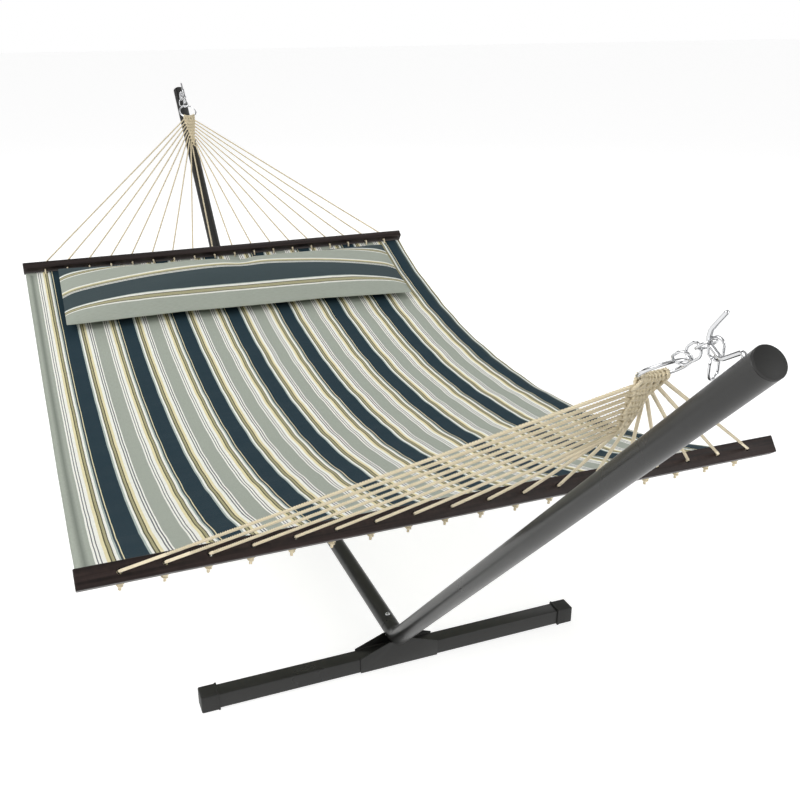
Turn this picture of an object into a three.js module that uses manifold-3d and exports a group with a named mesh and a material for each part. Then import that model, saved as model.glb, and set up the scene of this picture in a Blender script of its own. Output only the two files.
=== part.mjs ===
// Hammock on a steel stand, as a scene of separate pieces.
// Millimetres. X runs along the hammock, Y across it and Z up. The origin is on the floor
// under the middle of the stand. The foot end is at +X and the head end, with the pillow, at -X.
import * as THREE from 'three';
import { mergeVertices } from 'three/addons/utils/BufferGeometryUtils.js';
import Module from 'manifold-3d';

const wasm = await Module();
wasm.setup();

// ---- Driving dimensions ----------------------------------------------------------------

// Stand: round tube, with a bent arm at each end.
const TUBE_RADIUS = 21;
const TUBE_WALL = 1.6;
const TUBE_CENTRE_HEIGHT = 71.5;
const ELBOW_X = 696;
const ELBOW_BEND_RADIUS = 70;
const ARM_ANGLE = THREE.MathUtils.degToRad(45);
const ARM_LENGTH = 1490;
const SEAM_X = 650;
const SPIGOT_LENGTH = 120;
const SPIGOT_CLEARANCE = 0.5;

// Cross feet: square tube under each elbow, with moulded caps.
const CROSS_TUBE_SIZE = 38;
const CROSS_TUBE_WALL = 1.6;
const CROSS_FOOT_LENGTH = 945;
const CROSS_FOOT_X = 687.5;
const CAP_LENGTH = 42;
const CAP_SLEEVE_WALL = 2.3;
const CAP_END_WALL = 4;
const SADDLE_THICKNESS = 2.4;
const SADDLE_HALF_BASE = 98;
const SADDLE_HALF_TOP = 26;
const SADDLE_HEIGHT = 70;
const SADDLE_SHOULDER_RISE = 2;

// Screw through each beam joint.
const SCREW_X = 630;
const SCREW_HEAD_RADIUS = 6;
const SCREW_HEAD_HEIGHT = 3.5;
const SCREW_HEAD_CHAMFER = 2.5;
const SCREW_SHANK_RADIUS = 2.5;
const SCREW_SHANK_LENGTH = 12;

// Cap on the upper end of each arm.
const ARM_CAP_PLUG = 17;

// Chain hook: how far down the arm from its top and how far off the arm's axis the corner of its
// loaded bend is, the rod that it is bent from, and how far and in which direction the rod runs
// from that corner to its heel, up to the arm and out to its tip.
const HOOK_DOWN_ARM = 78.2613;
const HOOK_OFF_ARM = 63.9932;
const HOOK_ROD_RADIUS = 3.2;
const HOOK_THROAT_RADIUS = 9;
const HOOK_HEEL_REACH = 29;
const HOOK_HEEL_ANGLE = THREE.MathUtils.degToRad(-27);
const HOOK_HEEL_RADIUS = 10;
const HOOK_RISE_ANGLE = THREE.MathUtils.degToRad(31);
const HOOK_NECK_RADIUS = 5;
const HOOK_LIP_REACH = 16.2;
const HOOK_LIP_ANGLE = THREE.MathUtils.degToRad(76);
const HOOK_LIP_RADIUS = 10;
const HOOK_TIP_REACH = 36;
const HOOK_TIP_ANGLE = THREE.MathUtils.degToRad(50.3);

// Chain and ring.
const CHAIN_ANGLE = THREE.MathUtils.degToRad(37.6);
const LINK_WIRE_RADIUS = 2;
const LINK_INNER_LENGTH = 24;
const LINK_INNER_WIDTH = 16;
const LINK_ROLLS = [-45, 90, 0].map(THREE.MathUtils.degToRad);
const ROD_SIDE = 1.5;
const TAIL_SIDE = 8.1;
const TAIL_TURN = THREE.MathUtils.degToRad(19);
const RING_WIRE_RADIUS = 2.75;
const RING_MEAN_RADIUS = 32;

// Spreader bars and their rope holes.
const BAR_LENGTH = 1400;
const BAR_FACE = 36;
const BAR_THICKNESS = 25;
const BAR_X = 1053;
const BAR_HEIGHT = 608;
const BAR_TILT = THREE.MathUtils.degToRad(38);
const HOLE_COUNT = 18;
const HOLE_PITCH = 74;
const HOLE_RADIUS = 5;

// Rope harness: the woven clew below the ring and a rope to each hole.
const ROPE_RADIUS = 2.75;
const CLEW_LENGTH = 120;
const CLEW_ANGLE = THREE.MathUtils.degToRad(59.3);
const CLEW_HALF_WIDTH = 28;
const CLEW_TIP_HALF_WIDTH = 4;
const CLEW_THICKNESS = 11;
const CLEW_TOP_STEPS = 6;
const FIRST_EXIT = 12;
const EXIT_PITCH = 13;
const KNOT_RADIUS = 6.5;
const KNOT_LENGTH = 16;

// Bed: a padded sheet that sags between the bars.
const BED_WIDTH = 1390;
const BED_THICKNESS = 8;
const BED_SAG = 203;
const BED_END_STEEPENING = 0.07;
const BED_END_GAP = 4;
const BED_END_LAP = 1.2;
const BED_STEPS = 28;
const EYELET_INSET = 12;
const EYELET_SLOT_WIDTH = 10;

// Pillow on the head end of the bed.
const PILLOW_LENGTH = 1190;
const PILLOW_WIDTH = 300;
const PILLOW_HEIGHT = 92;
const PILLOW_SEAM_HEIGHT = 26;
const PILLOW_SEAM_THICKNESS = 8;
const PILLOW_GAP = 1.6;
const PILLOW_X = -833;
const PILLOW_TURN = THREE.MathUtils.degToRad(-1.4);

// Clearances between pieces that touch.
const TOUCH = 0.3;
const CHAIN_SLACK = 0.6;

// How finely round things are divided.
const TUBE_SIDES = 20;
const BEND_STEPS = 6;
const ROD_SIDES = 8;
const HOOK_BEND_STEPS = 5;
const LINK_SEGMENTS = 16;
const LINK_SIDES = 6;
const RING_SEGMENTS = 24;
const ROPE_SIDES = 6;
const SCREW_SIDES = 10;

// ---- Sizes that follow ----------------------------------------------------------------

const TUBE_BORE = TUBE_RADIUS - TUBE_WALL;
const SPIGOT_RADIUS = TUBE_BORE - SPIGOT_CLEARANCE;
const SPIGOT_BORE = SPIGOT_RADIUS - TUBE_WALL;
const LINK_MEAN_RADIUS = LINK_INNER_WIDTH / 2 + LINK_WIRE_RADIUS;
const LINK_REACH = LINK_INNER_LENGTH / 2 + LINK_WIRE_RADIUS;
const LINK_STRAIGHT = LINK_REACH - LINK_MEAN_RADIUS;
const LINK_PITCH = LINK_INNER_LENGTH - CHAIN_SLACK;
const CAP_SIZE = CROSS_TUBE_SIZE + 2 * (TOUCH + CAP_SLEEVE_WALL);
const CROSS_TUBE_HEIGHT = CAP_SIZE / 2;

// ---- Materials ------------------------------------------------------------------------

function material(color, roughness, metalness) {
  return new THREE.MeshStandardMaterial({ color, roughness, metalness });
}

const BLACK_STEEL = material(0x3a3a39, 0.45, 0.3);
const BLACK_PLASTIC = material(0x242424, 0.6, 0);
const CHROME = material(0xdfe1e3, 0.15, 1);
const DARK_WOOD = material(0x3a302c, 0.5, 0);
const ROPE = material(0xddd0b0, 0.9, 0);
const STRIPED_CLOTH = material(0x8f998c, 0.95, 0);
const PILLOW_CLOTH = material(0x6f7f83, 0.95, 0);

// ---- Geometry helpers -----------------------------------------------------------------

function toSolid(geometry) {
  const bare = geometry.clone();
  bare.deleteAttribute('normal');
  bare.deleteAttribute('uv');
  const merged = mergeVertices(bare, 1e-4);
  return new wasm.Manifold(new wasm.Mesh({
    numProp: 3,
    vertProperties: new Float32Array(merged.attributes.position.array),
    triVerts: new Uint32Array(merged.index.array),
  }));
}

function toGeometry(solid) {
  const mesh = solid.getMesh();
  const geometry = new THREE.BufferGeometry();
  geometry.setAttribute('position', new THREE.BufferAttribute(mesh.vertProperties, 3));
  geometry.setIndex(new THREE.BufferAttribute(mesh.triVerts, 1));
  geometry.computeVertexNormals();
  return geometry;
}

function cut(geometry, ...tools) {
  return toGeometry(tools.reduce((left, tool) => left.subtract(toSolid(tool)), toSolid(geometry)));
}

function join(...geometries) {
  return toGeometry(geometries.map(toSolid).reduce((left, right) => left.add(right)));
}

// A route through stations, with the section square to the bisector at each one.
class Route extends THREE.Curve {
  constructor(stations) {
    super();
    this.stations = stations;
  }

  getPoint(t, target = new THREE.Vector3()) {
    const place = THREE.MathUtils.clamp(t, 0, 1) * (this.stations.length - 1);
    const index = Math.min(Math.floor(place), this.stations.length - 2);
    return target.lerpVectors(this.stations[index], this.stations[index + 1], place - index);
  }

  getUtoTmapping(u) {
    return u;
  }

  getTangent(t, target = new THREE.Vector3()) {
    const last = this.stations.length - 1;
    const index = Math.round(THREE.MathUtils.clamp(t, 0, 1) * last);
    target.set(0, 0, 0);
    for (const start of [index - 1, index]) {
      if (start >= 0 && start < last) {
        target.add(this.stations[start + 1].clone().sub(this.stations[start]).normalize());
      }
    }
    return target.normalize();
  }
}

function circle(radius, sides) {
  const shape = new THREE.Shape();
  for (let i = 0; i < sides; i += 1) {
    const angle = (2 * Math.PI * i) / sides;
    const point = [radius * Math.cos(angle), radius * Math.sin(angle)];
    if (i === 0) shape.moveTo(...point);
    else shape.lineTo(...point);
  }
  shape.closePath();
  return shape;
}

function sweep(shape, stations) {
  const steps = stations.length - 1;
  return new THREE.ExtrudeGeometry(shape, { steps, extrudePath: new Route(stations) });
}

function rod(from, to, radius, sides) {
  return sweep(circle(radius, sides), [from, to]);
}

function box(low, high) {
  const size = high.clone().sub(low);
  const centre = high.clone().add(low).multiplyScalar(0.5);
  return new THREE.BoxGeometry(size.x, size.y, size.z).translate(centre.x, centre.y, centre.z);
}

// Points of a path in the upright plane y = 0, with each inner corner rounded to an arc.
function roundedPath(corners, radii, arcSteps) {
  const points = [corners[0]];
  for (let i = 1; i < corners.length - 1; i += 1) {
    const corner = corners[i];
    const before = corners[i - 1].clone().sub(corner).normalize();
    const after = corners[i + 1].clone().sub(corner).normalize();
    const halfOpening = before.angleTo(after) / 2;
    const inward = before.clone().add(after).normalize();
    const centre = corner.clone().addScaledVector(inward, radii[i - 1] / Math.sin(halfOpening));
    const reach = radii[i - 1] / Math.tan(halfOpening);
    const from = corner.clone().addScaledVector(before, reach).sub(centre);
    const to = corner.clone().addScaledVector(after, reach).sub(centre);
    const axis = from.clone().cross(to).normalize();
    const turn = from.angleTo(to);
    for (let step = 0; step <= arcSteps; step += 1) {
      points.push(from.clone().applyAxisAngle(axis, (turn * step) / arcSteps).add(centre));
    }
  }
  points.push(corners[corners.length - 1]);
  return points;
}

const xyz = (x, y, z) => new THREE.Vector3(x, y, z);
const inPlane = (x, z) => new THREE.Vector3(x, 0, z);
const direction = (angle) => inPlane(Math.cos(angle), Math.sin(angle));

function place(parent, name, geometry, finish) {
  const mesh = new THREE.Mesh(geometry, finish);
  mesh.name = name;
  parent.add(mesh);
  return mesh;
}

// ---- Stand ----------------------------------------------------------------------------

const elbow = inPlane(ELBOW_X, TUBE_CENTRE_HEIGHT);
const armDirection = direction(ARM_ANGLE);
const armTop = elbow.clone().addScaledVector(armDirection, ARM_LENGTH);

function tubeShape(outer, bore) {
  const shape = circle(outer, TUBE_SIDES);
  shape.holes.push(circle(bore, TUBE_SIDES));
  return shape;
}

function screwHole() {
  const top = inPlane(SCREW_X, TUBE_CENTRE_HEIGHT + 2 * TUBE_RADIUS);
  return rod(inPlane(SCREW_X, TUBE_CENTRE_HEIGHT), top, SCREW_SHANK_RADIUS + TOUCH, SCREW_SIDES);
}

function floorBeam() {
  const reach = SEAM_X - TOUCH;
  const ends = [inPlane(-reach, TUBE_CENTRE_HEIGHT), inPlane(reach, TUBE_CENTRE_HEIGHT)];
  const beam = sweep(tubeShape(TUBE_RADIUS, TUBE_BORE), ends);
  return cut(beam, screwHole(), screwHole().rotateZ(Math.PI));
}

// The bent arm: a spigot that fits in the beam, a shoulder at the seam, the elbow and the arm.
function bentArm() {
  const capSeat = armTop.clone().addScaledVector(armDirection, -CAP_END_WALL - TOUCH);
  const shoulder = inPlane(SEAM_X + TOUCH, TUBE_CENTRE_HEIGHT);
  const centreLine = roundedPath([shoulder, elbow, capSeat], [ELBOW_BEND_RADIUS], BEND_STEPS);
  const tube = sweep(tubeShape(TUBE_RADIUS, TUBE_BORE), centreLine);
  const shoulderLength = 2 * TUBE_WALL;
  const profile = [
    [SPIGOT_BORE, -SPIGOT_LENGTH],
    [SPIGOT_RADIUS, -SPIGOT_LENGTH],
    [SPIGOT_RADIUS, 0],
    [TUBE_RADIUS - TUBE_WALL / 2, 0],
    [TUBE_RADIUS - TUBE_WALL / 2, shoulderLength],
    [SPIGOT_BORE, shoulderLength],
    [SPIGOT_BORE, -SPIGOT_LENGTH],
  ].map(([radius, along]) => new THREE.Vector2(radius, along));
  const spigot = new THREE.LatheGeometry(profile, TUBE_SIDES);
  spigot.rotateZ(-Math.PI / 2).translate(shoulder.x, 0, TUBE_CENTRE_HEIGHT);
  const [shankEnd, neck] = hookCorners();
  const hookHole = rod(neck, shankEnd, HOOK_ROD_RADIUS + 2 * TOUCH, ROD_SIDES);
  return cut(join(tube, spigot), screwHole(), hookHole);
}

function armCap() {
  const onArm = (back) => armTop.clone().addScaledVector(armDirection, -back);
  const disc = rod(onArm(CAP_END_WALL), armTop, TUBE_RADIUS, TUBE_SIDES);
  const plugStart = CAP_END_WALL / 2;
  const plugEnd = CAP_END_WALL + ARM_CAP_PLUG;
  return join(disc, rod(onArm(plugEnd), onArm(plugStart), TUBE_BORE - TOUCH, TUBE_SIDES));
}

// A square bar of the cross foot's axis, between two places along Y.
function barAcross(half, from, to) {
  const centre = inPlane(CROSS_FOOT_X, CROSS_TUBE_HEIGHT);
  return box(xyz(-half, from, -half).add(centre), xyz(half, to, half).add(centre));
}

function crossTube() {
  const half = CROSS_TUBE_SIZE / 2;
  const reach = CROSS_FOOT_LENGTH / 2 - CAP_END_WALL - TOUCH;
  return cut(barAcross(half, -reach, reach), barAcross(half - CROSS_TUBE_WALL, -2 * reach, 2 * reach));
}

// A square cap that slides over the end of the cross tube. Side is -1 or 1.
function crossTubeCap(side) {
  const end = CROSS_FOOT_LENGTH / 2;
  const mouth = end - CAP_LENGTH;
  const floor = end - CAP_END_WALL;
  const cap = cut(barAcross(CAP_SIZE / 2, mouth, end), barAcross(CROSS_TUBE_SIZE / 2 + TOUCH, 0, floor));
  return side > 0 ? cap : turned(cap);
}

// Half a turn about the upright line through the middle of the cross foot.
function turned(geometry) {
  return geometry.translate(-CROSS_FOOT_X, 0, 0).rotateZ(Math.PI).translate(CROSS_FOOT_X, 0, 0);
}

// A welded plate on each side of the cross tube, with a cradle that the round tube lies in.
function saddlePlate(side) {
  const bottom = CROSS_TUBE_HEIGHT - CROSS_TUBE_SIZE / 2;
  const shoulder = bottom + CROSS_TUBE_SIZE + SADDLE_SHOULDER_RISE;
  const shape = new THREE.Shape();
  shape.moveTo(-SADDLE_HALF_BASE, bottom);
  shape.lineTo(SADDLE_HALF_BASE, bottom);
  shape.lineTo(SADDLE_HALF_BASE, shoulder);
  shape.lineTo(SADDLE_HALF_TOP, SADDLE_HEIGHT);
  shape.lineTo(-SADDLE_HALF_TOP, SADDLE_HEIGHT);
  shape.lineTo(-SADDLE_HALF_BASE, shoulder);
  shape.closePath();
  const plate = new THREE.ExtrudeGeometry(shape, { depth: SADDLE_THICKNESS, bevelEnabled: false });
  plate.rotateX(Math.PI / 2).rotateZ(Math.PI / 2);
  const offset = CROSS_TUBE_SIZE / 2 + TOUCH;
  plate.translate(CROSS_FOOT_X + (side > 0 ? offset : -offset - SADDLE_THICKNESS), 0, 0);
  const start = inPlane(SEAM_X + TOUCH, TUBE_CENTRE_HEIGHT);
  const end = elbow.clone().addScaledVector(armDirection, ARM_LENGTH);
  const route = roundedPath([start, elbow, end], [ELBOW_BEND_RADIUS], BEND_STEPS);
  return cut(plate, sweep(circle(TUBE_RADIUS + TOUCH, TUBE_SIDES), route));
}

function jointScrew() {
  const seat = TUBE_CENTRE_HEIGHT + TUBE_RADIUS + TOUCH;
  const profile = [
    [0, -SCREW_SHANK_LENGTH],
    [SCREW_SHANK_RADIUS, -SCREW_SHANK_LENGTH],
    [SCREW_SHANK_RADIUS, 0],
    [SCREW_HEAD_RADIUS, 0],
    [SCREW_HEAD_RADIUS - SCREW_HEAD_CHAMFER, SCREW_HEAD_HEIGHT],
    [0, SCREW_HEAD_HEIGHT],
  ].map(([radius, height]) => new THREE.Vector2(radius, height));
  const screw = new THREE.LatheGeometry(profile, SCREW_SIDES);
  return screw.rotateX(Math.PI / 2).translate(SCREW_X, 0, seat);
}

// ---- Hook, chain and ring -------------------------------------------------------------

const shankDirection = inPlane(Math.sin(ARM_ANGLE), -Math.cos(ARM_ANGLE));

// Corners of the hook rod: its end in the arm, the neck over the arm's wall, the heel, the
// throat that holds the chain, the lip and the tip.
function hookCorners() {
  const throat = armTop
    .clone()
    .addScaledVector(armDirection, -HOOK_DOWN_ARM)
    .addScaledVector(shankDirection, -HOOK_OFF_ARM);
  const heel = throat.clone().addScaledVector(direction(HOOK_HEEL_ANGLE), HOOK_HEEL_REACH);
  const lip = throat.clone().addScaledVector(direction(HOOK_LIP_ANGLE), HOOK_LIP_REACH);
  const tip = lip.clone().addScaledVector(direction(HOOK_TIP_ANGLE), HOOK_TIP_REACH);
  const rise = direction(HOOK_RISE_ANGLE);
  const neckOffset = TUBE_RADIUS + 2 * HOOK_ROD_RADIUS;
  const neckLine = elbow.clone().addScaledVector(shankDirection, -neckOffset);
  const climb = neckLine.sub(heel).dot(shankDirection) / rise.dot(shankDirection);
  const neck = heel.clone().addScaledVector(rise, climb);
  const shankEnd = neck.clone().addScaledVector(shankDirection, neckOffset);
  return [shankEnd, neck, heel, throat, lip, tip];
}

function chainHook() {
  const radii = [HOOK_NECK_RADIUS, HOOK_HEEL_RADIUS, HOOK_THROAT_RADIUS, HOOK_LIP_RADIUS];
  return sweep(circle(HOOK_ROD_RADIUS, ROD_SIDES), roundedPath(hookCorners(), radii, HOOK_BEND_STEPS));
}

// A link lies flat in the plane of X and Y with its length along X, before it is placed.
function chainLink() {
  const torus = new THREE.TorusGeometry(LINK_MEAN_RADIUS, LINK_WIRE_RADIUS, LINK_SIDES, LINK_SEGMENTS);
  torus.rotateZ(Math.PI / LINK_SEGMENTS);
  const position = torus.attributes.position;
  for (let i = 0; i < position.count; i += 1) {
    position.setX(i, position.getX(i) + Math.sign(position.getX(i)) * LINK_STRAIGHT);
  }
  return torus;
}

// How far along the last link the hook's rod lies, from the centre of the link's end arc.
const rodRoom = LINK_INNER_WIDTH / 2 - HOOK_ROD_RADIUS - CHAIN_SLACK;
const rodAlong = Math.sqrt(rodRoom ** 2 - ROD_SIDE ** 2) - TOUCH;

const chainDirection = direction(CHAIN_ANGLE);
const throatBend = hookThroatPoint();
const lastLinkArc = throatBend.clone().addScaledVector(chainDirection, -rodAlong);
const lastLink = lastLinkArc.clone().addScaledVector(chainDirection, -LINK_STRAIGHT);
const chainSpan = (LINK_ROLLS.length - 1) * LINK_PITCH;
const firstLink = lastLink.clone().addScaledVector(chainDirection, -chainSpan);
const ringTop = firstLink.clone().addScaledVector(
  chainDirection,
  -LINK_REACH + RING_WIRE_RADIUS + LINK_WIRE_RADIUS + CHAIN_SLACK,
);
const ringCentre = ringTop.clone().addScaledVector(chainDirection, -RING_MEAN_RADIUS);

// The point of the rod's centre line that faces the pull of the chain.
function hookThroatPoint() {
  const bend = hookCorners().slice(2, 5);
  const arc = roundedPath(bend, [HOOK_THROAT_RADIUS], 4 * HOOK_BEND_STEPS).slice(1, -1);
  const pull = (point) => point.dot(chainDirection);
  return arc.reduce((low, point) => (pull(point) < pull(low) ? point : low));
}

// A link with its length along the chain, rolled about the chain.
function linkOnChain(centre, roll) {
  return chainLink().rotateX(roll).rotateY(-CHAIN_ANGLE).translate(centre.x, centre.y, centre.z);
}

// The loose tail of the chain hangs beside the hook from the last link's end.
const tailAlong = Math.sqrt(LINK_MEAN_RADIUS ** 2 - (TAIL_SIDE - ROD_SIDE) ** 2);
const tailPivot = lastLinkArc.clone().addScaledVector(chainDirection, tailAlong).setY(TAIL_SIDE);
const linkContact = 2 * LINK_WIRE_RADIUS + CHAIN_SLACK;
const lowerTailPivot = tailPivot.clone().add(xyz(0, 0, linkContact - 2 * LINK_REACH));

function hangingLink(pivot, turn) {
  const link = chainLink().rotateY(Math.PI / 2).rotateZ(turn);
  return link.translate(pivot.x, pivot.y, pivot.z + linkContact - LINK_REACH);
}

// ---- Bars, harness, bed and pillow ----------------------------------------------------

const barCentre = inPlane(BAR_X, BAR_HEIGHT);
const holeDirection = direction(BAR_TILT);
const holeY = Array.from({ length: HOLE_COUNT }, (_, i) => (i - (HOLE_COUNT - 1) / 2) * HOLE_PITCH);
const throughBar = (along) => barCentre.clone().addScaledVector(holeDirection, along);
const innerFace = throughBar(-BAR_THICKNESS / 2);

function spreaderBar() {
  const bar = new THREE.BoxGeometry(BAR_THICKNESS, BAR_LENGTH, BAR_FACE);
  bar.rotateY(-BAR_TILT).translate(barCentre.x, 0, barCentre.z);
  const hole = rod(throughBar(-BAR_THICKNESS), throughBar(BAR_THICKNESS), HOLE_RADIUS, ROD_SIDES);
  return cut(bar, ...holeY.map((y) => hole.clone().translate(0, y, 0)));
}

// Height of the middle of the bed's thickness: a parabola, a little steeper towards the bars.
const bedEndX = innerFace.x + BED_END_LAP;
const bedEndHeight = innerFace.z - BED_END_GAP - BED_THICKNESS / 2;

function bedHeight(x) {
  const square = (x / bedEndX) ** 2;
  const rise = THREE.MathUtils.lerp(square, square ** 2, BED_END_STEEPENING);
  return bedEndHeight - BED_SAG * (1 - rise);
}

const eyeletX = bedEndX - EYELET_INSET;
const clewTop = ringCentre.clone().addScaledVector(chainDirection, -RING_MEAN_RADIUS);
const clewDirection = direction(CLEW_ANGLE).negate();

function clewHalfWidth(along) {
  return THREE.MathUtils.lerp(CLEW_HALF_WIDTH, CLEW_TIP_HALF_WIDTH, along / CLEW_LENGTH);
}

// The woven triangle: its top edge follows the ring, and its sides draw in to the tip.
function clew() {
  const shape = new THREE.Shape();
  const lift = Math.cos(CLEW_ANGLE - CHAIN_ANGLE);
  shape.moveTo(-CLEW_TIP_HALF_WIDTH, CLEW_LENGTH);
  for (let i = 0; i <= CLEW_TOP_STEPS; i += 1) {
    const y = THREE.MathUtils.lerp(-CLEW_HALF_WIDTH, CLEW_HALF_WIDTH, i / CLEW_TOP_STEPS);
    const arcRise = RING_MEAN_RADIUS - Math.sqrt(RING_MEAN_RADIUS ** 2 - y ** 2);
    shape.lineTo(y, -arcRise * lift - RING_WIRE_RADIUS - 2 * ROPE_RADIUS);
  }
  shape.lineTo(CLEW_TIP_HALF_WIDTH, CLEW_LENGTH);
  shape.closePath();
  const slab = new THREE.ExtrudeGeometry(shape, { depth: CLEW_THICKNESS, bevelEnabled: false });
  slab.translate(0, 0, -CLEW_THICKNESS / 2);
  const normal = inPlane(-Math.sin(CLEW_ANGLE), Math.cos(CLEW_ANGLE));
  const frame = new THREE.Matrix4().makeBasis(xyz(0, 1, 0), clewDirection, normal);
  return slab.applyMatrix4(frame.setPosition(clewTop));
}

function ropeStations(hole) {
  const y = holeY[hole];
  const side = Math.sign(y);
  const fromEdge = Math.min(hole, HOLE_COUNT - 1 - hole);
  const along = FIRST_EXIT + fromEdge * EXIT_PITCH;
  const exit = clewTop.clone().addScaledVector(clewDirection, along);
  exit.y = side * (clewHalfWidth(along) - ROPE_RADIUS);
  return [
    exit,
    throughBar(BAR_THICKNESS / 2 + ROPE_RADIUS).setY(y),
    throughBar(-BAR_THICKNESS / 2 - ROPE_RADIUS).setY(y),
    xyz(eyeletX + ROPE_RADIUS / 2, y, bedHeight(eyeletX) + BED_THICKNESS / 2),
    xyz(eyeletX, y, bedHeight(eyeletX) - BED_THICKNESS - ROPE_RADIUS),
  ];
}

function knot(hole) {
  const underBed = bedHeight(eyeletX - KNOT_RADIUS) - BED_THICKNESS / 2 - TOUCH;
  const cone = new THREE.CylinderGeometry(KNOT_RADIUS, ROPE_RADIUS, KNOT_LENGTH, ROPE_SIDES);
  return cone.rotateX(Math.PI / 2).translate(eyeletX, holeY[hole], underBed - KNOT_LENGTH / 2);
}

function harness() {
  const ropes = holeY.map((_, hole) => sweep(circle(ROPE_RADIUS, ROPE_SIDES), ropeStations(hole)));
  const knots = holeY.map((_, hole) => knot(hole));
  const ringSpace = ringAt(RING_WIRE_RADIUS + CHAIN_SLACK);
  return cut(join(clew(), ...ropes, ...knots), ringSpace);
}

function ringAt(wireRadius) {
  const ring = new THREE.TorusGeometry(RING_MEAN_RADIUS, wireRadius, ROD_SIDES, RING_SEGMENTS);
  return ring.rotateY(-CHAIN_ANGLE).translate(ringCentre.x, 0, ringCentre.z);
}

// Each rope passes through a slot that is open to the end of the bed.
function bed() {
  const stations = Array.from(
    { length: BED_STEPS + 1 },
    (_, i) => THREE.MathUtils.lerp(-bedEndX, bedEndX, i / BED_STEPS),
  );
  const edge = (offset) => stations.map((x) => new THREE.Vector2(x, bedHeight(x) + offset));
  const shape = new THREE.Shape([...edge(BED_THICKNESS / 2), ...edge(-BED_THICKNESS / 2).reverse()]);
  const sheet = new THREE.ExtrudeGeometry(shape, { depth: BED_WIDTH, bevelEnabled: false });
  sheet.rotateX(Math.PI / 2).translate(0, BED_WIDTH / 2, 0);
  const half = EYELET_SLOT_WIDTH / 2;
  const slotLow = xyz(eyeletX - half, -half, bedEndHeight - 2 * BED_THICKNESS);
  const slotHigh = xyz(bedEndX + half, half, bedEndHeight + BED_THICKNESS);
  const slots = holeY.map((y) => box(slotLow, slotHigh).translate(0, y, 0));
  return cut(sheet, ...slots, ...slots.map((slot) => slot.clone().rotateZ(Math.PI)));
}

// A long cushion that lies on the bed: crowned above, and thin where its seam stands off the bed.
function pillow() {
  const cushion = new THREE.BoxGeometry(2, 2, 2, 6, 12, 2);
  const position = cushion.attributes.position;
  for (let i = 0; i < position.count; i += 1) {
    const across = position.getX(i);
    const along = position.getY(i);
    const fullness = Math.sqrt((1 - across ** 2) * (1 - along ** 6));
    const seamTop = PILLOW_SEAM_HEIGHT + PILLOW_SEAM_THICKNESS / 2;
    const seamBottom = PILLOW_SEAM_HEIGHT - PILLOW_SEAM_THICKNESS / 2;
    const top = THREE.MathUtils.lerp(seamTop, PILLOW_HEIGHT, fullness);
    const bottom = THREE.MathUtils.lerp(seamBottom, 0, fullness);
    const height = THREE.MathUtils.lerp(bottom, top, (position.getZ(i) + 1) / 2);
    const point = xyz((across * PILLOW_WIDTH) / 2, (along * PILLOW_LENGTH) / 2, 0);
    point.applyAxisAngle(xyz(0, 0, 1), PILLOW_TURN);
    const x = point.x + PILLOW_X;
    const bedTop = bedHeight(x) + BED_THICKNESS / 2;
    position.setXYZ(i, x, point.y, bedTop + PILLOW_GAP + height);
  }
  return cushion;
}

// ---- Assembly -------------------------------------------------------------------------

const hammockOnStand = new THREE.Group();

function buildEnd(end, turn) {
  const group = new THREE.Group();
  group.rotation.z = turn;
  hammockOnStand.add(group);
  place(group, `${end}_arm`, bentArm(), BLACK_STEEL);
  place(group, `${end}_arm_cap`, armCap(), BLACK_PLASTIC);
  place(group, `${end}_cross_tube`, crossTube(), BLACK_STEEL);
  for (const [label, side] of [['a', -1], ['b', 1]]) {
    place(group, `${end}_cross_tube_cap_${label}`, crossTubeCap(side), BLACK_PLASTIC);
  }
  place(group, `${end}_saddle_plate_outer`, saddlePlate(1), BLACK_STEEL);
  place(group, `${end}_saddle_plate_inner`, saddlePlate(-1), BLACK_STEEL);
  place(group, `${end}_joint_screw`, jointScrew(), CHROME);
  place(group, `${end}_hook`, chainHook(), CHROME);
  place(group, `${end}_ring`, ringAt(RING_WIRE_RADIUS), CHROME);
  LINK_ROLLS.forEach((roll, i) => {
    const centre = firstLink.clone().addScaledVector(chainDirection, i * LINK_PITCH);
    if (i === LINK_ROLLS.length - 1) centre.y = ROD_SIDE;
    place(group, `${end}_chain_link_${i + 1}`, linkOnChain(centre, roll), CHROME);
  });
  place(group, `${end}_tail_link_upper`, hangingLink(tailPivot, Math.PI / 2 + TAIL_TURN), CHROME);
  place(group, `${end}_tail_link_lower`, hangingLink(lowerTailPivot, TAIL_TURN), CHROME);
  place(group, `${end}_rope_harness`, harness(), ROPE);
  place(group, `${end}_spreader_bar`, spreaderBar(), DARK_WOOD);
}

place(hammockOnStand, 'floor_beam', floorBeam(), BLACK_STEEL);
buildEnd('foot_end', 0);
buildEnd('head_end', Math.PI);
place(hammockOnStand, 'bed', bed(), STRIPED_CLOTH);
place(hammockOnStand, 'pillow', pillow(), PILLOW_CLOTH);

export default hammockOnStand;
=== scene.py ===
"""Builds the looks of a double quilted hammock on a bent-tube steel stand.

Metres. X runs along the hammock, Y across it and Z up. The foot end is at +X. Each piece of an
end is made at the foot end, and the head end's copy is turned half a turn about Z.
"""
import math

import bpy
import bmesh
from mathutils import Matrix, Vector, noise


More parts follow.
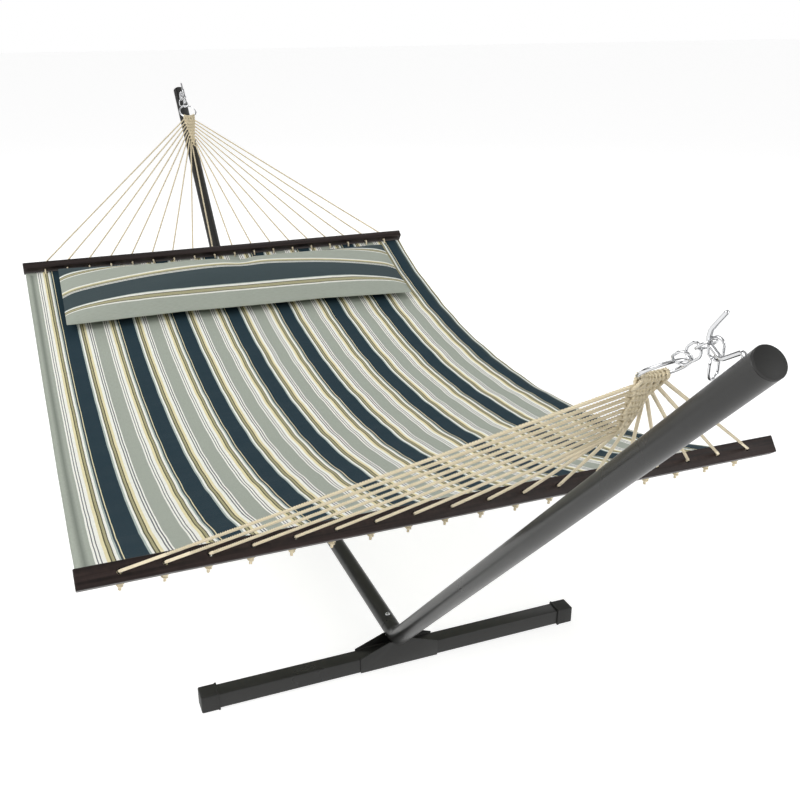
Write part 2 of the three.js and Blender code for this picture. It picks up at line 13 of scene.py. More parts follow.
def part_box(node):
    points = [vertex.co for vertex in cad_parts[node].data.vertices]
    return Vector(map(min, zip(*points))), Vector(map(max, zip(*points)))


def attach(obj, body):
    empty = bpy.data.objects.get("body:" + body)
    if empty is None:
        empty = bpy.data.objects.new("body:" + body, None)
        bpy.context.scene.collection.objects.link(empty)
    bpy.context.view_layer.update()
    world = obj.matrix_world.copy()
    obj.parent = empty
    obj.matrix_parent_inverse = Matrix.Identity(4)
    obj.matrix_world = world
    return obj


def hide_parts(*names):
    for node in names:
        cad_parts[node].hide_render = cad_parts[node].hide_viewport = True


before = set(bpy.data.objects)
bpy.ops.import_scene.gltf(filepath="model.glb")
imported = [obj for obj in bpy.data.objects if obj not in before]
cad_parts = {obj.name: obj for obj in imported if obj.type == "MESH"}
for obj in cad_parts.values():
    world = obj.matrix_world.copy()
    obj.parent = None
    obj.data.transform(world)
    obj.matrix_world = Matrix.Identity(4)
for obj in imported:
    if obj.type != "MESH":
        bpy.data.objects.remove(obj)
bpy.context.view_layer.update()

bl_info = {
    "name": "Hammock on Stand",
    "version": (1, 0, 0),
    "blender": (4, 5, 0),
    "location": "3D View > Sidebar > Hammock",
    "description": "Builds a double hammock with spreader bars on a steel stand",
    "category": "Object",
}

HALF_TURN = Matrix.Rotation(math.pi, 4, "Z")
UP = Vector((0, 0, 1))
ACROSS = Vector((0, 1, 0))


# ---- Places that come from the frame --------------------------------------------------------

def node_size(node):
    low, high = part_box(node)
    return high - low


def node_middle(node):
    low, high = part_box(node)
    return (low + high) / 2


def along(angle):
    """A unit vector in the upright plane that runs the length of the hammock."""
    return Vector((math.cos(angle), 0, math.sin(angle)))


def srgb(red, green, blue):
    """A colour given as screen values of 0 to 255, in linear light."""
    def linear(value):
        value /= 255
        return value / 12.92 if value <= 0.04045 else ((value + 0.055) / 1.055) ** 2.4
    return linear(red), linear(green), linear(blue)


# ---- Sizes and colours that a user would change ---------------------------------------------

def length_of(name, description, default):
    return bpy.props.FloatProperty(
        name=name, description=description, default=default, min=0, unit="LENGTH", precision=4)


def angle_of(name, description, degrees):
    return bpy.props.FloatProperty(
        name=name, description=description, default=math.radians(degrees), subtype="ANGLE")


def colour_of(name, description, default):
    return bpy.props.FloatVectorProperty(
        name=name, description=description, default=default, size=3, subtype="COLOR", min=0, max=1)


class HammockStandSizes(bpy.types.PropertyGroup):
    tube_radius: length_of("Tube radius", "Outside radius of the round tube", node_size("floor_beam").z / 2)
    arm_angle: angle_of("Arm angle", "Angle of the arms above the floor", 45)
    bend_radius: length_of("Bend radius", "Radius of the elbow's centre line", 0.07)
    foot_edge: length_of("Foot edge", "Radius of the cross tube's edges", 0.0028)
    cap_edge: length_of("Cap edge", "Radius of the plastic caps' edges", 0.0035)
    rod_radius: length_of("Hook rod radius", "Radius of the rod of each hook", 0.00312)
    link_wire: length_of("Link wire radius", "Radius of the chain's wire", 0.00188)
    ring_wire: length_of("Ring wire radius", "Radius of the ring's wire", 0.00275)
    chain_angle: angle_of("Chain angle", "Slope of the pulling chain", 37.6)


class HammockBedSizes(bpy.types.PropertyGroup):
    rope_radius: length_of("Rope radius", "Radius of the twisted rope", 0.00275)
    rope_lay: length_of("Rope lay", "Length of one full twist of the rope", 0.014)
    clew_length: length_of("Clew length", "Length of the woven triangle", 0.12)
    clew_angle: angle_of("Clew angle", "Slope of the woven triangle", 59.3)
    bar_tilt: angle_of("Bar tilt", "Slope of the rope holes through the bar", 38)
    bar_face: length_of("Bar face", "Height of the bar's broad face", 0.036)
    bar_thickness: length_of("Bar thickness", "Thickness of the bar along its holes", 0.025)
    hole_pitch: length_of("Hole pitch", "Distance between rope holes", 0.074)
    hole_radius: length_of("Hole radius", "Radius of the rope holes", 0.005)
    bed_thickness: length_of("Bed thickness", "Thickness of the padded bed", 0.008)
    hem_width: length_of("Hem width", "Distance of the hem's seam from the bed's edge", 0.019)
    stripe_repeat: length_of("Stripe repeat", "Width of one repeat of the stripes", 0.1775)
    pillow_repeat: length_of("Pillow repeat", "Width of one repeat of the pillow's stripes", 0.1995)
    pillow_length: length_of("Pillow length", "Length of the pillow's cut cloth", 1.2)
    pillow_width: length_of("Pillow width", "Width of the pillow's cut cloth", 0.335)
    filled_rise: length_of("Filled rise", "Height of the filled pillow above its seam", 0.066)
    filled_drop: length_of("Filled drop", "Depth of the filled pillow below its seam", 0.026)


class HammockColours(bpy.types.PropertyGroup):
    steel: colour_of("Steel", "Powder-coated steel", srgb(34, 34, 33))
    plastic: colour_of("Plastic", "Moulded caps", srgb(34, 34, 33))
    wood: colour_of("Wood", "Varnished spreader bars", srgb(35, 26, 24))
    rope: colour_of("Rope", "Twisted rope", srgb(247, 235, 208))
    navy: colour_of("Navy", "Wide dark stripe", srgb(36, 55, 64))
    sage: colour_of("Sage", "Wide pale stripe", srgb(163, 169, 158))
    white: colour_of("White", "White stripe", srgb(240, 240, 232))
    cream: colour_of("Cream", "Cream stripe", srgb(229, 220, 178))
    olive: colour_of("Olive", "Dark olive stripe", srgb(78, 74, 44))
    khaki: colour_of("Khaki", "Lighter olive stripe", srgb(160, 154, 112))
    mist: colour_of("Mist", "Pale blue-grey stripe", srgb(172, 184, 178))


def stand_sizes():
    return bpy.context.scene.hammock_stand


def bed_sizes():
    return bpy.context.scene.hammock_bed


def colours():
    return bpy.context.scene.hammock_colours


# ---- Paths ----------------------------------------------------------------------------------

def rounded(corners, radii, steps=8):
    """The points of a path whose inner corners are rounded to arcs."""
    points = [corners[0]]
    for before, corner, after, radius in zip(corners, corners[1:], corners[2:], radii):
        back, ahead = before - corner, after - corner
        turn = math.pi - back.angle(ahead)
        if turn < 0.02:
            points.append(corner)
            continue
        reach = min(radius * math.tan(turn / 2), 0.49 * back.length, 0.49 * ahead.length)
        fitted = reach / math.tan(turn / 2)
        bisector = (back.normalized() + ahead.normalized()).normalized()
        centre = corner + bisector * (fitted / math.cos(turn / 2))
        arm = corner + back.normalized() * reach - centre
        last = corner + ahead.normalized() * reach - centre
        axis = arm.cross(last)
        points.extend(
            centre + Matrix.Rotation(turn * i / steps, 3, axis) @ arm for i in range(steps + 1))
    points.append(corners[-1])
    return points


def evenly(points, spacing):
    """The same path with points at even distances."""
    reach = [0.0]
    for start, end in zip(points, points[1:]):
        reach.append(reach[-1] + (end - start).length)
    count = max(2, round(reach[-1] / spacing))
    result, leg = [], 0
    for i in range(count + 1):
        distance = reach[-1] * i / count
        while leg < len(points) - 2 and reach[leg + 1] < distance:
            leg += 1
        span = reach[leg + 1] - reach[leg]
        share = (distance - reach[leg]) / span if span else 0
        result.append(points[leg].lerp(points[leg + 1], min(1, share)))
    return result


def circle_path(centre, side, forward, radius, count, reach=0.0):
    """A closed loop: a circle, stretched along forward by reach at each end."""
    points = []
    for i in range(count):
        angle = 2 * math.pi * (i + 0.5) / count
        stretch = math.copysign(reach, math.cos(angle))
        points.append(centre + forward * (radius * math.cos(angle) + stretch)
                      + side * (radius * math.sin(angle)))
    return points


# ---- Meshes ---------------------------------------------------------------------------------

def add_object(name, data):
    piece = bpy.data.objects.new(name, data)
    bpy.context.scene.collection.objects.link(piece)
    return piece


def smooth(mesh, angle=35):
    mesh.shade_smooth()
    mesh.set_sharp_from_angle(angle=math.radians(angle))


def mesh_of_curve(curve):
    """The mesh of a curve object's shape, with its doubles merged."""
    holder = add_object("holder", curve)
    depsgraph = bpy.context.evaluated_depsgraph_get()
    mesh = bpy.data.meshes.new_from_object(holder.evaluated_get(depsgraph))
    bpy.data.objects.remove(holder)
    work = bmesh.new()
    work.from_mesh(mesh)
    bmesh.ops.remove_doubles(work, verts=work.verts, dist=1e-6)
    work.to_mesh(mesh)
    work.free()
    mesh.materials.clear()
    return mesh


def new_curve(radius=0.0, sides=32, closed=False):
    curve = bpy.data.curves.new("path", "CURVE")
    curve.dimensions = "3D"
    curve.bevel_depth = radius
    curve.bevel_resolution = (sides - 4) // 2
    curve.use_fill_caps = not closed
    return curve


def add_spline(curve, points, closed=False, widths=None, tilts=None):
    spline = curve.splines.new("POLY")
    spline.points.add(len(points) - 1)
    for i, point in enumerate(points):
        spline.points[i].co = (*point, 1)
        if widths:
            spline.points[i].radius = widths[i]
        if tilts:
            spline.points[i].tilt = tilts[i]
    spline.use_cyclic_u = closed


def tube(points, radius, sides=32, closed=False, widths=None):
    """The mesh of a round rod along points."""
    curve = new_curve(radius, sides, closed)
    add_spline(curve, points, closed, widths)
    mesh = mesh_of_curve(curve)
    smooth(mesh)
    return mesh


def joined(name, meshes):
    """One mesh of several."""
    work = bmesh.new()
    for mesh in meshes:
        work.from_mesh(mesh)
        bpy.data.meshes.remove(mesh)
    mesh = bpy.data.meshes.new(name)
    work.to_mesh(mesh)
    work.free()
    return mesh


def soft_box(size, middle, edge, turn=None, segments=3):
    """The mesh of a box with rounded edges."""
    work = bmesh.new()
    bmesh.ops.create_cube(work, size=1)
    bmesh.ops.scale(work, vec=size, verts=work.verts)
    bmesh.ops.bevel(work, geom=work.edges[:], offset=edge, affect="EDGES", segments=segments,
                    profile=0.5, material=-1)
    if turn:
        bmesh.ops.rotate(work, cent=(0, 0, 0), matrix=turn, verts=work.verts)
    bmesh.ops.translate(work, vec=middle, verts=work.verts)
    mesh = bpy.data.meshes.new("box")
    work.to_mesh(mesh)
    work.free()
    smooth(mesh, 40)
    return mesh


def lathe(profile, direction, middle, sides=32):
    """The mesh of a round piece: its profile of (radius, height) spun about direction."""
    work = bmesh.new()
    points = [work.verts.new((radius, 0, height)) for radius, height in profile]
    edges = [work.edges.new(pair) for pair in zip(points, points[1:])]
    bmesh.ops.spin(work, geom=points + edges, cent=(0, 0, 0), axis=(0, 0, 1), dvec=(0, 0, 0),
                   angle=2 * math.pi, steps=sides, use_merge=True)
    bmesh.ops.remove_doubles(work, verts=work.verts, dist=1e-6)
    bmesh.ops.recalc_face_normals(work, faces=work.faces)
    turn = UP.rotation_difference(direction).to_matrix()
    bmesh.ops.rotate(work, cent=(0, 0, 0), matrix=turn, verts=work.verts)
    bmesh.ops.translate(work, vec=middle, verts=work.verts)
    mesh = bpy.data.meshes.new("lathe")
    work.to_mesh(mesh)
    work.free()
    smooth(mesh)
    return mesh


def finish_piece(name, mesh, material, slot, body, *nodes):
    """Adds a finished mesh as a piece that rides on a body and stands for CAD nodes."""
    mesh.name = name
    mesh.materials.clear()
    mesh.materials.append(material)
    piece = add_object(name, mesh)
    if nodes:
        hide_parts(*nodes)
    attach(piece, body)
    return piece


def both_ends(name, mesh, material, slot, body, *nodes):
    """Adds a piece at the foot end and its copy at the head end. A body's name may hold {end}."""
    other = mesh.copy()
    other.transform(HALF_TURN)
    for end, shape in (("foot_end", mesh), ("head_end", other)):
        replaced = [f"{end}_{node}" for node in nodes]
        finish_piece(f"{end}_{name}", shape, material, slot, body.format(end=end), *replaced)


# ---- Shader groups and materials ------------------------------------------------------------

def new_group(name, inputs, outputs):
    group = bpy.data.node_groups.new(name, "ShaderNodeTree")
    for label, kind, value in inputs:
        socket = group.interface.new_socket(name=label, in_out="INPUT", socket_type=kind)
        if value is not None:
            socket.default_value = value
    for label, kind in outputs:
        group.interface.new_socket(name=label, in_out="OUTPUT", socket_type=kind)
    return group


class Nodes:
    """Short ways to add and join shader nodes in one tree."""

    def __init__(self, tree):
        self.tree = tree

    def add(self, kind, **values):
        node = self.tree.nodes.new(kind)
        for key, value in values.items():
            setattr(node, key, value)
        return node

    def link(self, source, target):
        self.tree.links.new(source, target)

    def put(self, socket, value):
        """Joins an output to a socket, or sets the socket's value."""
        if isinstance(value, bpy.types.NodeSocket):
            self.link(value, socket)
        else:
            socket.default_value = value

    def math(self, operation, *values):
        node = self.add("ShaderNodeMath", operation=operation)
        for socket, value in zip(node.inputs, values):
            self.put(socket, value)
        return node.outputs[0]

    def noise(self, vector, scale, detail=2.0, roughness=0.5):
        node = self.add("ShaderNodeTexNoise")
        self.put(node.inputs["Vector"], vector)
        self.put(node.inputs["Scale"], scale)
        self.put(node.inputs["Detail"], detail)
        self.put(node.inputs["Roughness"], roughness)
        return node.outputs["Fac"]

    def mapped(self, vector, scale=(1, 1, 1), rotation=(0, 0, 0)):
        node = self.add("ShaderNodeMapping")
        self.put(node.inputs["Vector"], vector)
        self.put(node.inputs["Scale"], scale)
        self.put(node.inputs["Rotation"], rotation)
        return node.outputs[0]

    def spread(self, value, low, high, to_low=0.0, to_high=1.0):
        node = self.add("ShaderNodeMapRange")
        for socket, number in zip(node.inputs, (value, low, high, to_low, to_high)):
            self.put(socket, number)
        return node.outputs[0]

    def mix(self, factor, first, second, blend="MIX"):
        node = self.add("ShaderNodeMix", data_type="RGBA", blend_type=blend)
        self.put(node.inputs["Factor"], factor)
        self.put(node.inputs["A"], first)
        self.put(node.inputs["B"], second)
        return node.outputs["Result"]

    def group(self, group, **values):
        node = self.add("ShaderNodeGroup", node_tree=group)
        for key, value in values.items():
            self.put(node.inputs[key.replace("_", " ")], value)
        return node

    def bump(self, height, strength, distance, normal=None):
        node = self.add("ShaderNodeBump")
        self.put(node.inputs["Strength"], strength)
        self.put(node.inputs["Distance"], distance)
        self.put(node.inputs["Height"], height)
        if normal:
            self.link(normal, node.inputs["Normal"])
        return node.outputs[0]


def mottled_group():
    """Slow variation and fine speckle, for coats, plastics and varnish."""
    group = new_group(
        "mottled surface",
        [("Vector", "NodeSocketVector", None), ("Coarse", "NodeSocketFloat", 6.0),
         ("Fine", "NodeSocketFloat", 400.0)],
        [("Variation", "NodeSocketFloat"), ("Speckle", "NodeSocketFloat")])
    nodes = Nodes(group)
    source = nodes.add("NodeGroupInput")
    result = nodes.add("NodeGroupOutput")
    slow = nodes.noise(source.outputs["Vector"], source.outputs["Coarse"], 4.0)
    fine = nodes.noise(source.outputs["Vector"], source.outputs["Fine"], 2.0)
    nodes.link(slow, result.inputs["Variation"])
    nodes.link(fine, result.inputs["Speckle"])
    return group


def edge_wear_group():
    """A mask of convex edges, broken up by noise."""
    group = new_group(
        "edge wear",
        [("Vector", "NodeSocketVector", None), ("Amount", "NodeSocketFloat", 0.5)],
        [("Mask", "NodeSocketFloat")])
    nodes = Nodes(group)
    source = nodes.add("NodeGroupInput")
    result = nodes.add("NodeGroupOutput")
    geometry = nodes.add("ShaderNodeNewGeometry")
    edge = nodes.spread(geometry.outputs["Pointiness"], 0.53, 0.62)
    broken = nodes.spread(nodes.noise(source.outputs["Vector"], 90.0, 4.0), 0.42, 0.62)
    mask = nodes.math("MULTIPLY", nodes.math("MULTIPLY", edge, broken), source.outputs["Amount"])
    nodes.link(mask, result.inputs["Mask"])
    return group


# One repeat of the stripes from the middle of the sage, as (width in millimetres, colour, twill).
# Twill is how much the slanting white threads show in the stripe.
STRIPES = (
    (18.3, "sage", 0.0),
    (3.9, "white", 0.2),
    (2.4, "shadow", 0.4),
    (4.0, "white", 0.2),
    (2.2, "shadow", 0.4),
    (7.4, "white", 0.0),
    (6.0, "cream", 0.0),
    (2.6, "olive", 0.1),
    (5.2, "khaki", 0.3),
    (2.2, "olive", 0.1),
    (5.2, "white", 0.0),
    (3.6, "mist", 0.1),
    (4.0, "navy", 0.1),
    (2.2, "cream", 0.2),
    (43.0, "navy", 0.0),
    (4.5, "mist", 0.1),
    (4.6, "white", 0.0),
    (2.8, "olive", 0.1),
    (5.0, "khaki", 0.3),
    (2.6, "olive", 0.1),
    (6.4, "cream", 0.0),
    (7.6, "white", 0.0),
    (2.3, "shadow", 0.4),
    (4.0, "white", 0.2),
    (2.2, "shadow", 0.4),
    (3.7, "white", 0.2),
    (18.2, "sage", 0.0),
)

# The pillow's stripes are wider, with narrower groups of lines. They run from back to front.
PILLOW_STRIPES = (
    (32.0, "sage", 0.0),
    (6.0, "white", 0.0),
    (4.0, "cream", 0.0),
    (7.0, "khaki", 0.3),
    (3.0, "olive", 0.1),
    (3.0, "white", 0.0),
    (2.5, "navy", 0.1),
    (3.0, "white", 0.0),
    (79.0, "navy", 0.0),
    (3.0, "mist", 0.1),
    (6.0, "white", 0.0),
    (2.5, "olive", 0.1),
    (9.0, "khaki", 0.3),
    (2.5, "olive", 0.1),
    (5.0, "white", 0.0),
    (32.0, "sage", 0.0),
)


def stripe_colour(name):
    if name == "shadow":
        return (*srgb(58, 62, 76), 1)
    return (*getattr(colours(), name), 1)


def fill_ramp(ramp, stops):
    """Sets a colour ramp's stops, each a place and a colour, without blending."""
    ramp.interpolation = "CONSTANT"
    while len(ramp.elements) > 1:
        ramp.elements.remove(ramp.elements[-1])
    for i, (place, colour) in enumerate(stops):
        stop = ramp.elements[0] if i == 0 else ramp.elements.new(place)
        stop.position = place
        stop.color = colour


def stripes_group(name, stripes):
    """Woven stripes across a coordinate, with the slanting threads of their twill."""
    group = new_group(
        name,
        [("Across", "NodeSocketFloat", 0.0), ("Lengthwise", "NodeSocketFloat", 0.0),
         ("Repeat", "NodeSocketFloat", bed_sizes().stripe_repeat)],
        [("Color", "NodeSocketColor"), ("Line", "NodeSocketFloat")])
    nodes = Nodes(group)
    source = nodes.add("NodeGroupInput")
    result = nodes.add("NodeGroupOutput")
    across, lengthwise = source.outputs["Across"], source.outputs["Lengthwise"]
    share = nodes.math("FRACT", nodes.math("DIVIDE", across, source.outputs["Repeat"]))
    total = sum(width for width, _, _ in stripes)
    places, place = [], 0.0
    for width, colour, twill in stripes:
        places.append((place / total, colour, twill))
        place += width
    colour_ramp = nodes.add("ShaderNodeValToRGB")
    fill_ramp(colour_ramp.color_ramp, [(at, stripe_colour(colour)) for at, colour, _ in places])
    twill_ramp = nodes.add("ShaderNodeValToRGB")
    fill_ramp(twill_ramp.color_ramp, [(at, (twill, twill, twill, 1)) for at, _, twill in places])
    nodes.link(share, colour_ramp.inputs[0])
    nodes.link(share, twill_ramp.inputs[0])
    slant = nodes.math("ADD", nodes.math("MULTIPLY", lengthwise, 1200.0),
                       nodes.math("MULTIPLY", across, 1500.0))
    thread = nodes.spread(nodes.math("SINE", slant), -0.3, 0.3)
    light = nodes.mix(0.55, colour_ramp.outputs["Color"], stripe_colour("white"))
    shown = nodes.math("MULTIPLY", thread, twill_ramp.outputs["Color"])
    nodes.link(nodes.mix(shown, colour_ramp.outputs["Color"], light), result.inputs["Color"])
    nodes.link(shown, result.inputs["Line"])
    return group


def weave_group():
    """The height of a plain weave, and a slow variation of its yarn."""
    group = new_group(
        "plain weave",
        [("Across", "NodeSocketFloat", 0.0), ("Lengthwise", "NodeSocketFloat", 0.0),
         ("Thread", "NodeSocketFloat", 0.0011)],
        [("Height", "NodeSocketFloat"), ("Yarn", "NodeSocketFloat")])
    nodes = Nodes(group)
    source = nodes.add("NodeGroupInput")
    result = nodes.add("NodeGroupOutput")
    pitch = nodes.math("DIVIDE", math.pi, source.outputs["Thread"])
    warp = nodes.math("SINE", nodes.math("MULTIPLY", source.outputs["Across"], pitch))
    weft = nodes.math("SINE", nodes.math("MULTIPLY", source.outputs["Lengthwise"], pitch))
    height = nodes.math("ADD", nodes.math("MULTIPLY", warp, warp), nodes.math("MULTIPLY", weft, weft))
    place = nodes.add("ShaderNodeCombineXYZ")
    nodes.link(nodes.math("MULTIPLY", source.outputs["Across"], 6.0), place.inputs[0])
    nodes.link(source.outputs["Lengthwise"], place.inputs[1])
    nodes.link(nodes.noise(place.outputs[0], 60.0, 3.0), result.inputs["Yarn"])
    nodes.link(nodes.math("MULTIPLY", height, 0.5), result.inputs["Height"])
    return group


def new_material(name):
    material = bpy.data.materials.new(name)
    material.use_nodes = True
    nodes = Nodes(material.node_tree)
    shader = material.node_tree.nodes["Principled BSDF"]
    return material, nodes, shader


def object_place(nodes):
    return nodes.add("ShaderNodeTexCoord").outputs["Object"]


def coated_material(name, colour, roughness, lighter, groups, wear=0.0):
    """Powder coat or moulded plastic: slow variation, fine texture and worn edges."""
    material, nodes, shader = new_material(name)
    place = object_place(nodes)
    mottle = nodes.group(groups["mottled"], Vector=place, Coarse=5.0, Fine=650.0)
    raised = tuple(min(1, part * lighter) for part in colour)
    base = nodes.mix(mottle.outputs["Variation"], (*colour, 1), (*raised, 1))
    edge = nodes.group(groups["edge wear"], Vector=place, Amount=wear)
    worn = tuple(min(1, part * 2.2 + 0.02) for part in colour)
    nodes.link(nodes.mix(edge.outputs["Mask"], base, (*worn, 1)), shader.inputs["Base Color"])
    rough = nodes.spread(mottle.outputs["Variation"], 0.3, 0.7, roughness - 0.05, roughness + 0.06)
    nodes.link(rough, shader.inputs["Roughness"])
    nodes.link(nodes.bump(mottle.outputs["Speckle"], 0.12, 0.0004), shader.inputs["Normal"])
    shader.inputs["Specular IOR Level"].default_value = 0.4
    return material


def chrome_material(groups):
    material, nodes, shader = new_material("chrome plate")
    mottle = nodes.group(groups["mottled"], Vector=object_place(nodes), Coarse=60.0, Fine=900.0)
    tint = nodes.mix(mottle.outputs["Variation"], (0.60, 0.61, 0.62, 1), (0.70, 0.70, 0.71, 1))
    nodes.link(tint, shader.inputs["Base Color"])
    nodes.link(nodes.spread(mottle.outputs["Variation"], 0.3, 0.7, 0.06, 0.14), shader.inputs["Roughness"])
    nodes.link(nodes.bump(mottle.outputs["Speckle"], 0.03, 0.0002), shader.inputs["Normal"])
    shader.inputs["Metallic"].default_value = 1.0
    return material


def wood_material(groups):
    """Dark varnished wood, with its grain along Y."""
    material, nodes, shader = new_material("dark varnished wood")
    place = object_place(nodes)
    stretched = nodes.mapped(place, scale=(130.0, 2.6, 130.0))
    grain = nodes.noise(stretched, 1.0, 5.0, 0.65)
    pores = nodes.noise(nodes.mapped(place, scale=(900.0, 18.0, 900.0)), 1.0, 2.0)
    streak = nodes.spread(grain, 0.34, 0.66)
    dark = tuple(part * 0.45 for part in colours().wood)
    light = tuple(part * 1.75 for part in colours().wood)
    base = nodes.mix(streak, (*dark, 1), (*light, 1))
    flecks = nodes.spread(pores, 0.60, 0.72, 0.0, 0.6)
    edge = nodes.group(groups["edge wear"], Vector=place, Amount=0.35)
    worn = nodes.mix(edge.outputs["Mask"], nodes.mix(flecks, base, (*dark, 1)), (*srgb(78, 60, 50), 1))
    nodes.link(worn, shader.inputs["Base Color"])
    nodes.link(nodes.spread(grain, 0.3, 0.7, 0.34, 0.5), shader.inputs["Roughness"])
    shader.inputs["Specular IOR Level"].default_value = 0.25
    height = nodes.math("ADD", nodes.math("MULTIPLY", grain, 0.6), nodes.math("MULTIPLY", pores, 0.4))
    nodes.link(nodes.bump(height, 0.25, 0.0006), shader.inputs["Normal"])
    return material


def rope_material(groups):
    """Cream fibre, a little darker and yellower in patches, with fine hairs, and painted shade in the
    grooves between its strands.
    """
    material, nodes, shader = new_material("cream twisted rope")
    mottle = nodes.group(groups["mottled"], Vector=object_place(nodes), Coarse=35.0, Fine=1500.0)
    base = colours().rope
    darker = tuple(part * share for part, share in zip(base, (0.80, 0.77, 0.68)))
    slow = nodes.mix(mottle.outputs["Variation"], (*darker, 1), (*base, 1))
    fibres = nodes.spread(mottle.outputs["Speckle"], 0.35, 0.65, 0.0, 0.35)
    # Painted shade: where low pointiness finds the grooves between the strands, the colour is mixed towards
    # a dark copy of the fibre.
    pointiness = nodes.add("ShaderNodeNewGeometry").outputs["Pointiness"]
    groove_shade = nodes.spread(pointiness, 0.36, 0.46, 0.42, 0.0)
    shadow = tuple(part * 0.45 for part in darker)
    fibred = nodes.mix(fibres, slow, (*darker, 1))
    nodes.link(nodes.mix(groove_shade, fibred, (*shadow, 1)), shader.inputs["Base Color"])
    shader.inputs["Roughness"].default_value = 0.9
    shader.inputs["Sheen Weight"].default_value = 0.15
    nodes.link(nodes.bump(mottle.outputs["Speckle"], 0.4, 0.0006), shader.inputs["Normal"])
    return material


def cloth_material(name, groups, stripes, along_axis, offset, repeat, fade=0.0):
    """Striped woven cloth. Its UV map holds the flat cloth's metres: x along, y across the bed."""
    material, nodes, shader = new_material(name)
    flat = nodes.add("ShaderNodeUVMap", uv_map="flat_cloth")
    parts = nodes.add("ShaderNodeSeparateXYZ")
    nodes.link(flat.outputs[0], parts.inputs[0])
    across, lengthwise = parts.outputs[1 - along_axis], parts.outputs[along_axis]
    wander = nodes.noise(flat.outputs[0], 7.0, 2.0)
    pulled = nodes.math("ADD", across, nodes.spread(wander, 0.0, 1.0, offset - 0.0012, offset + 0.0012))
    stripes = nodes.group(groups[stripes], Across=pulled, Lengthwise=lengthwise, Repeat=repeat)
    weave = nodes.group(groups["weave"], Across=across, Lengthwise=lengthwise)
    shade = nodes.spread(weave.outputs["Yarn"], 0.3, 0.7, 0.93, 1.05)
    shaded = nodes.mix(1.0, stripes.outputs["Color"], shade, "MULTIPLY")
    dusty = nodes.mix(fade, shaded, (*srgb(150, 156, 146), 1))
    seam = nodes.add("ShaderNodeAttribute", attribute_name="seam")
    stitched = nodes.mix(nodes.math("MULTIPLY", seam.outputs["Fac"], 0.55), dusty, (*srgb(70, 78, 72), 1))
    nodes.link(stitched, shader.inputs["Base Color"])
    nodes.link(nodes.spread(weave.outputs["Yarn"], 0.3, 0.7, 0.82, 0.95), shader.inputs["Roughness"])
    shader.inputs["Specular IOR Level"].default_value = 0.15
    ripples = nodes.noise(nodes.mapped(flat.outputs[0], scale=(34.0, 9.0, 1.0)), 1.0, 3.0)
    puckers = nodes.bump(ripples, 0.35, 0.006)
    height = nodes.math("ADD", weave.outputs["Height"], nodes.math("MULTIPLY", stripes.outputs["Line"], 0.5))
    nodes.link(nodes.bump(height, 0.35, 0.0005, puckers), shader.inputs["Normal"])
    return material


# Where the stripes start: the bed's run from its middle, and the pillow's from its front seam.
STRIPE_START = 0.1452
PILLOW_STRIPE_START = 0.025
PILLOW_FADE = 0.12

finishes = {}


def make_finishes():
    """Builds the shader groups and the materials once."""
    groups = {
        "mottled": mottled_group(),
        "edge wear": edge_wear_group(),
        "bed stripes": stripes_group("bed stripes", STRIPES),
        "pillow stripes": stripes_group("pillow stripes", PILLOW_STRIPES),
        "weave": weave_group(),
    }
    sizes = bed_sizes()
    finishes["steel"] = coated_material("charcoal powder coat", colours().steel, 0.3, 1.12, groups, 0.1)
    finishes["plastic"] = coated_material("black moulded plastic", colours().plastic, 0.55, 1.15, groups)
    finishes["chrome"] = chrome_material(groups)
    finishes["wood"] = wood_material(groups)
    finishes["rope"] = rope_material(groups)
    finishes["cloth"] = cloth_material(
        "striped hammock cloth", groups, "bed stripes", 0, STRIPE_START, sizes.stripe_repeat)
    finishes["pillow"] = cloth_material(
        "striped pillow cloth", groups, "pillow stripes", 1, PILLOW_STRIPE_START,
        sizes.pillow_repeat, PILLOW_FADE)


# ---- Stand ----------------------------------------------------------------------------------

SEAM_GAP = 0.0006
SPIGOT_SHOWN = 0.004
SPIGOT_EASE = 0.0012
TUBE_LIP = 0.0008
TUBE_SIDES = 64
ARM_CAP_WALL = 0.004
ARM_CAP_PLUG = 0.016
ARM_CAP_PLUG_EASE = 0.002
CAP_LIP = Vector((0.0012, 0.005, 0.0006))
CAP_LIP_EDGE = 0.0012
PLATE_EDGE = 0.0006
WELD_RADIUS = 0.0019
WELD_STEPS = 90
WELD_SPAN = 0.96
SCREW_SHANK = 0.0025
SCREW_LENGTH = 0.0155
SCREW_HEAD = 0.0035


def arm_axis():
    """The elbow's corner, the arm's direction and the middle of the arm's top."""
    sizes = stand_sizes()
    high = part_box("foot_end_arm_cap")[1]
    direction = along(sizes.arm_angle)
    top = Vector((high.x - sizes.tube_radius * math.sin(sizes.arm_angle), 0,
                  high.z - sizes.tube_radius * math.cos(sizes.arm_angle)))
    beam_height = node_middle("floor_beam").z
    elbow = top - direction * ((top.z - beam_height) / direction.z)
    return elbow, direction, top


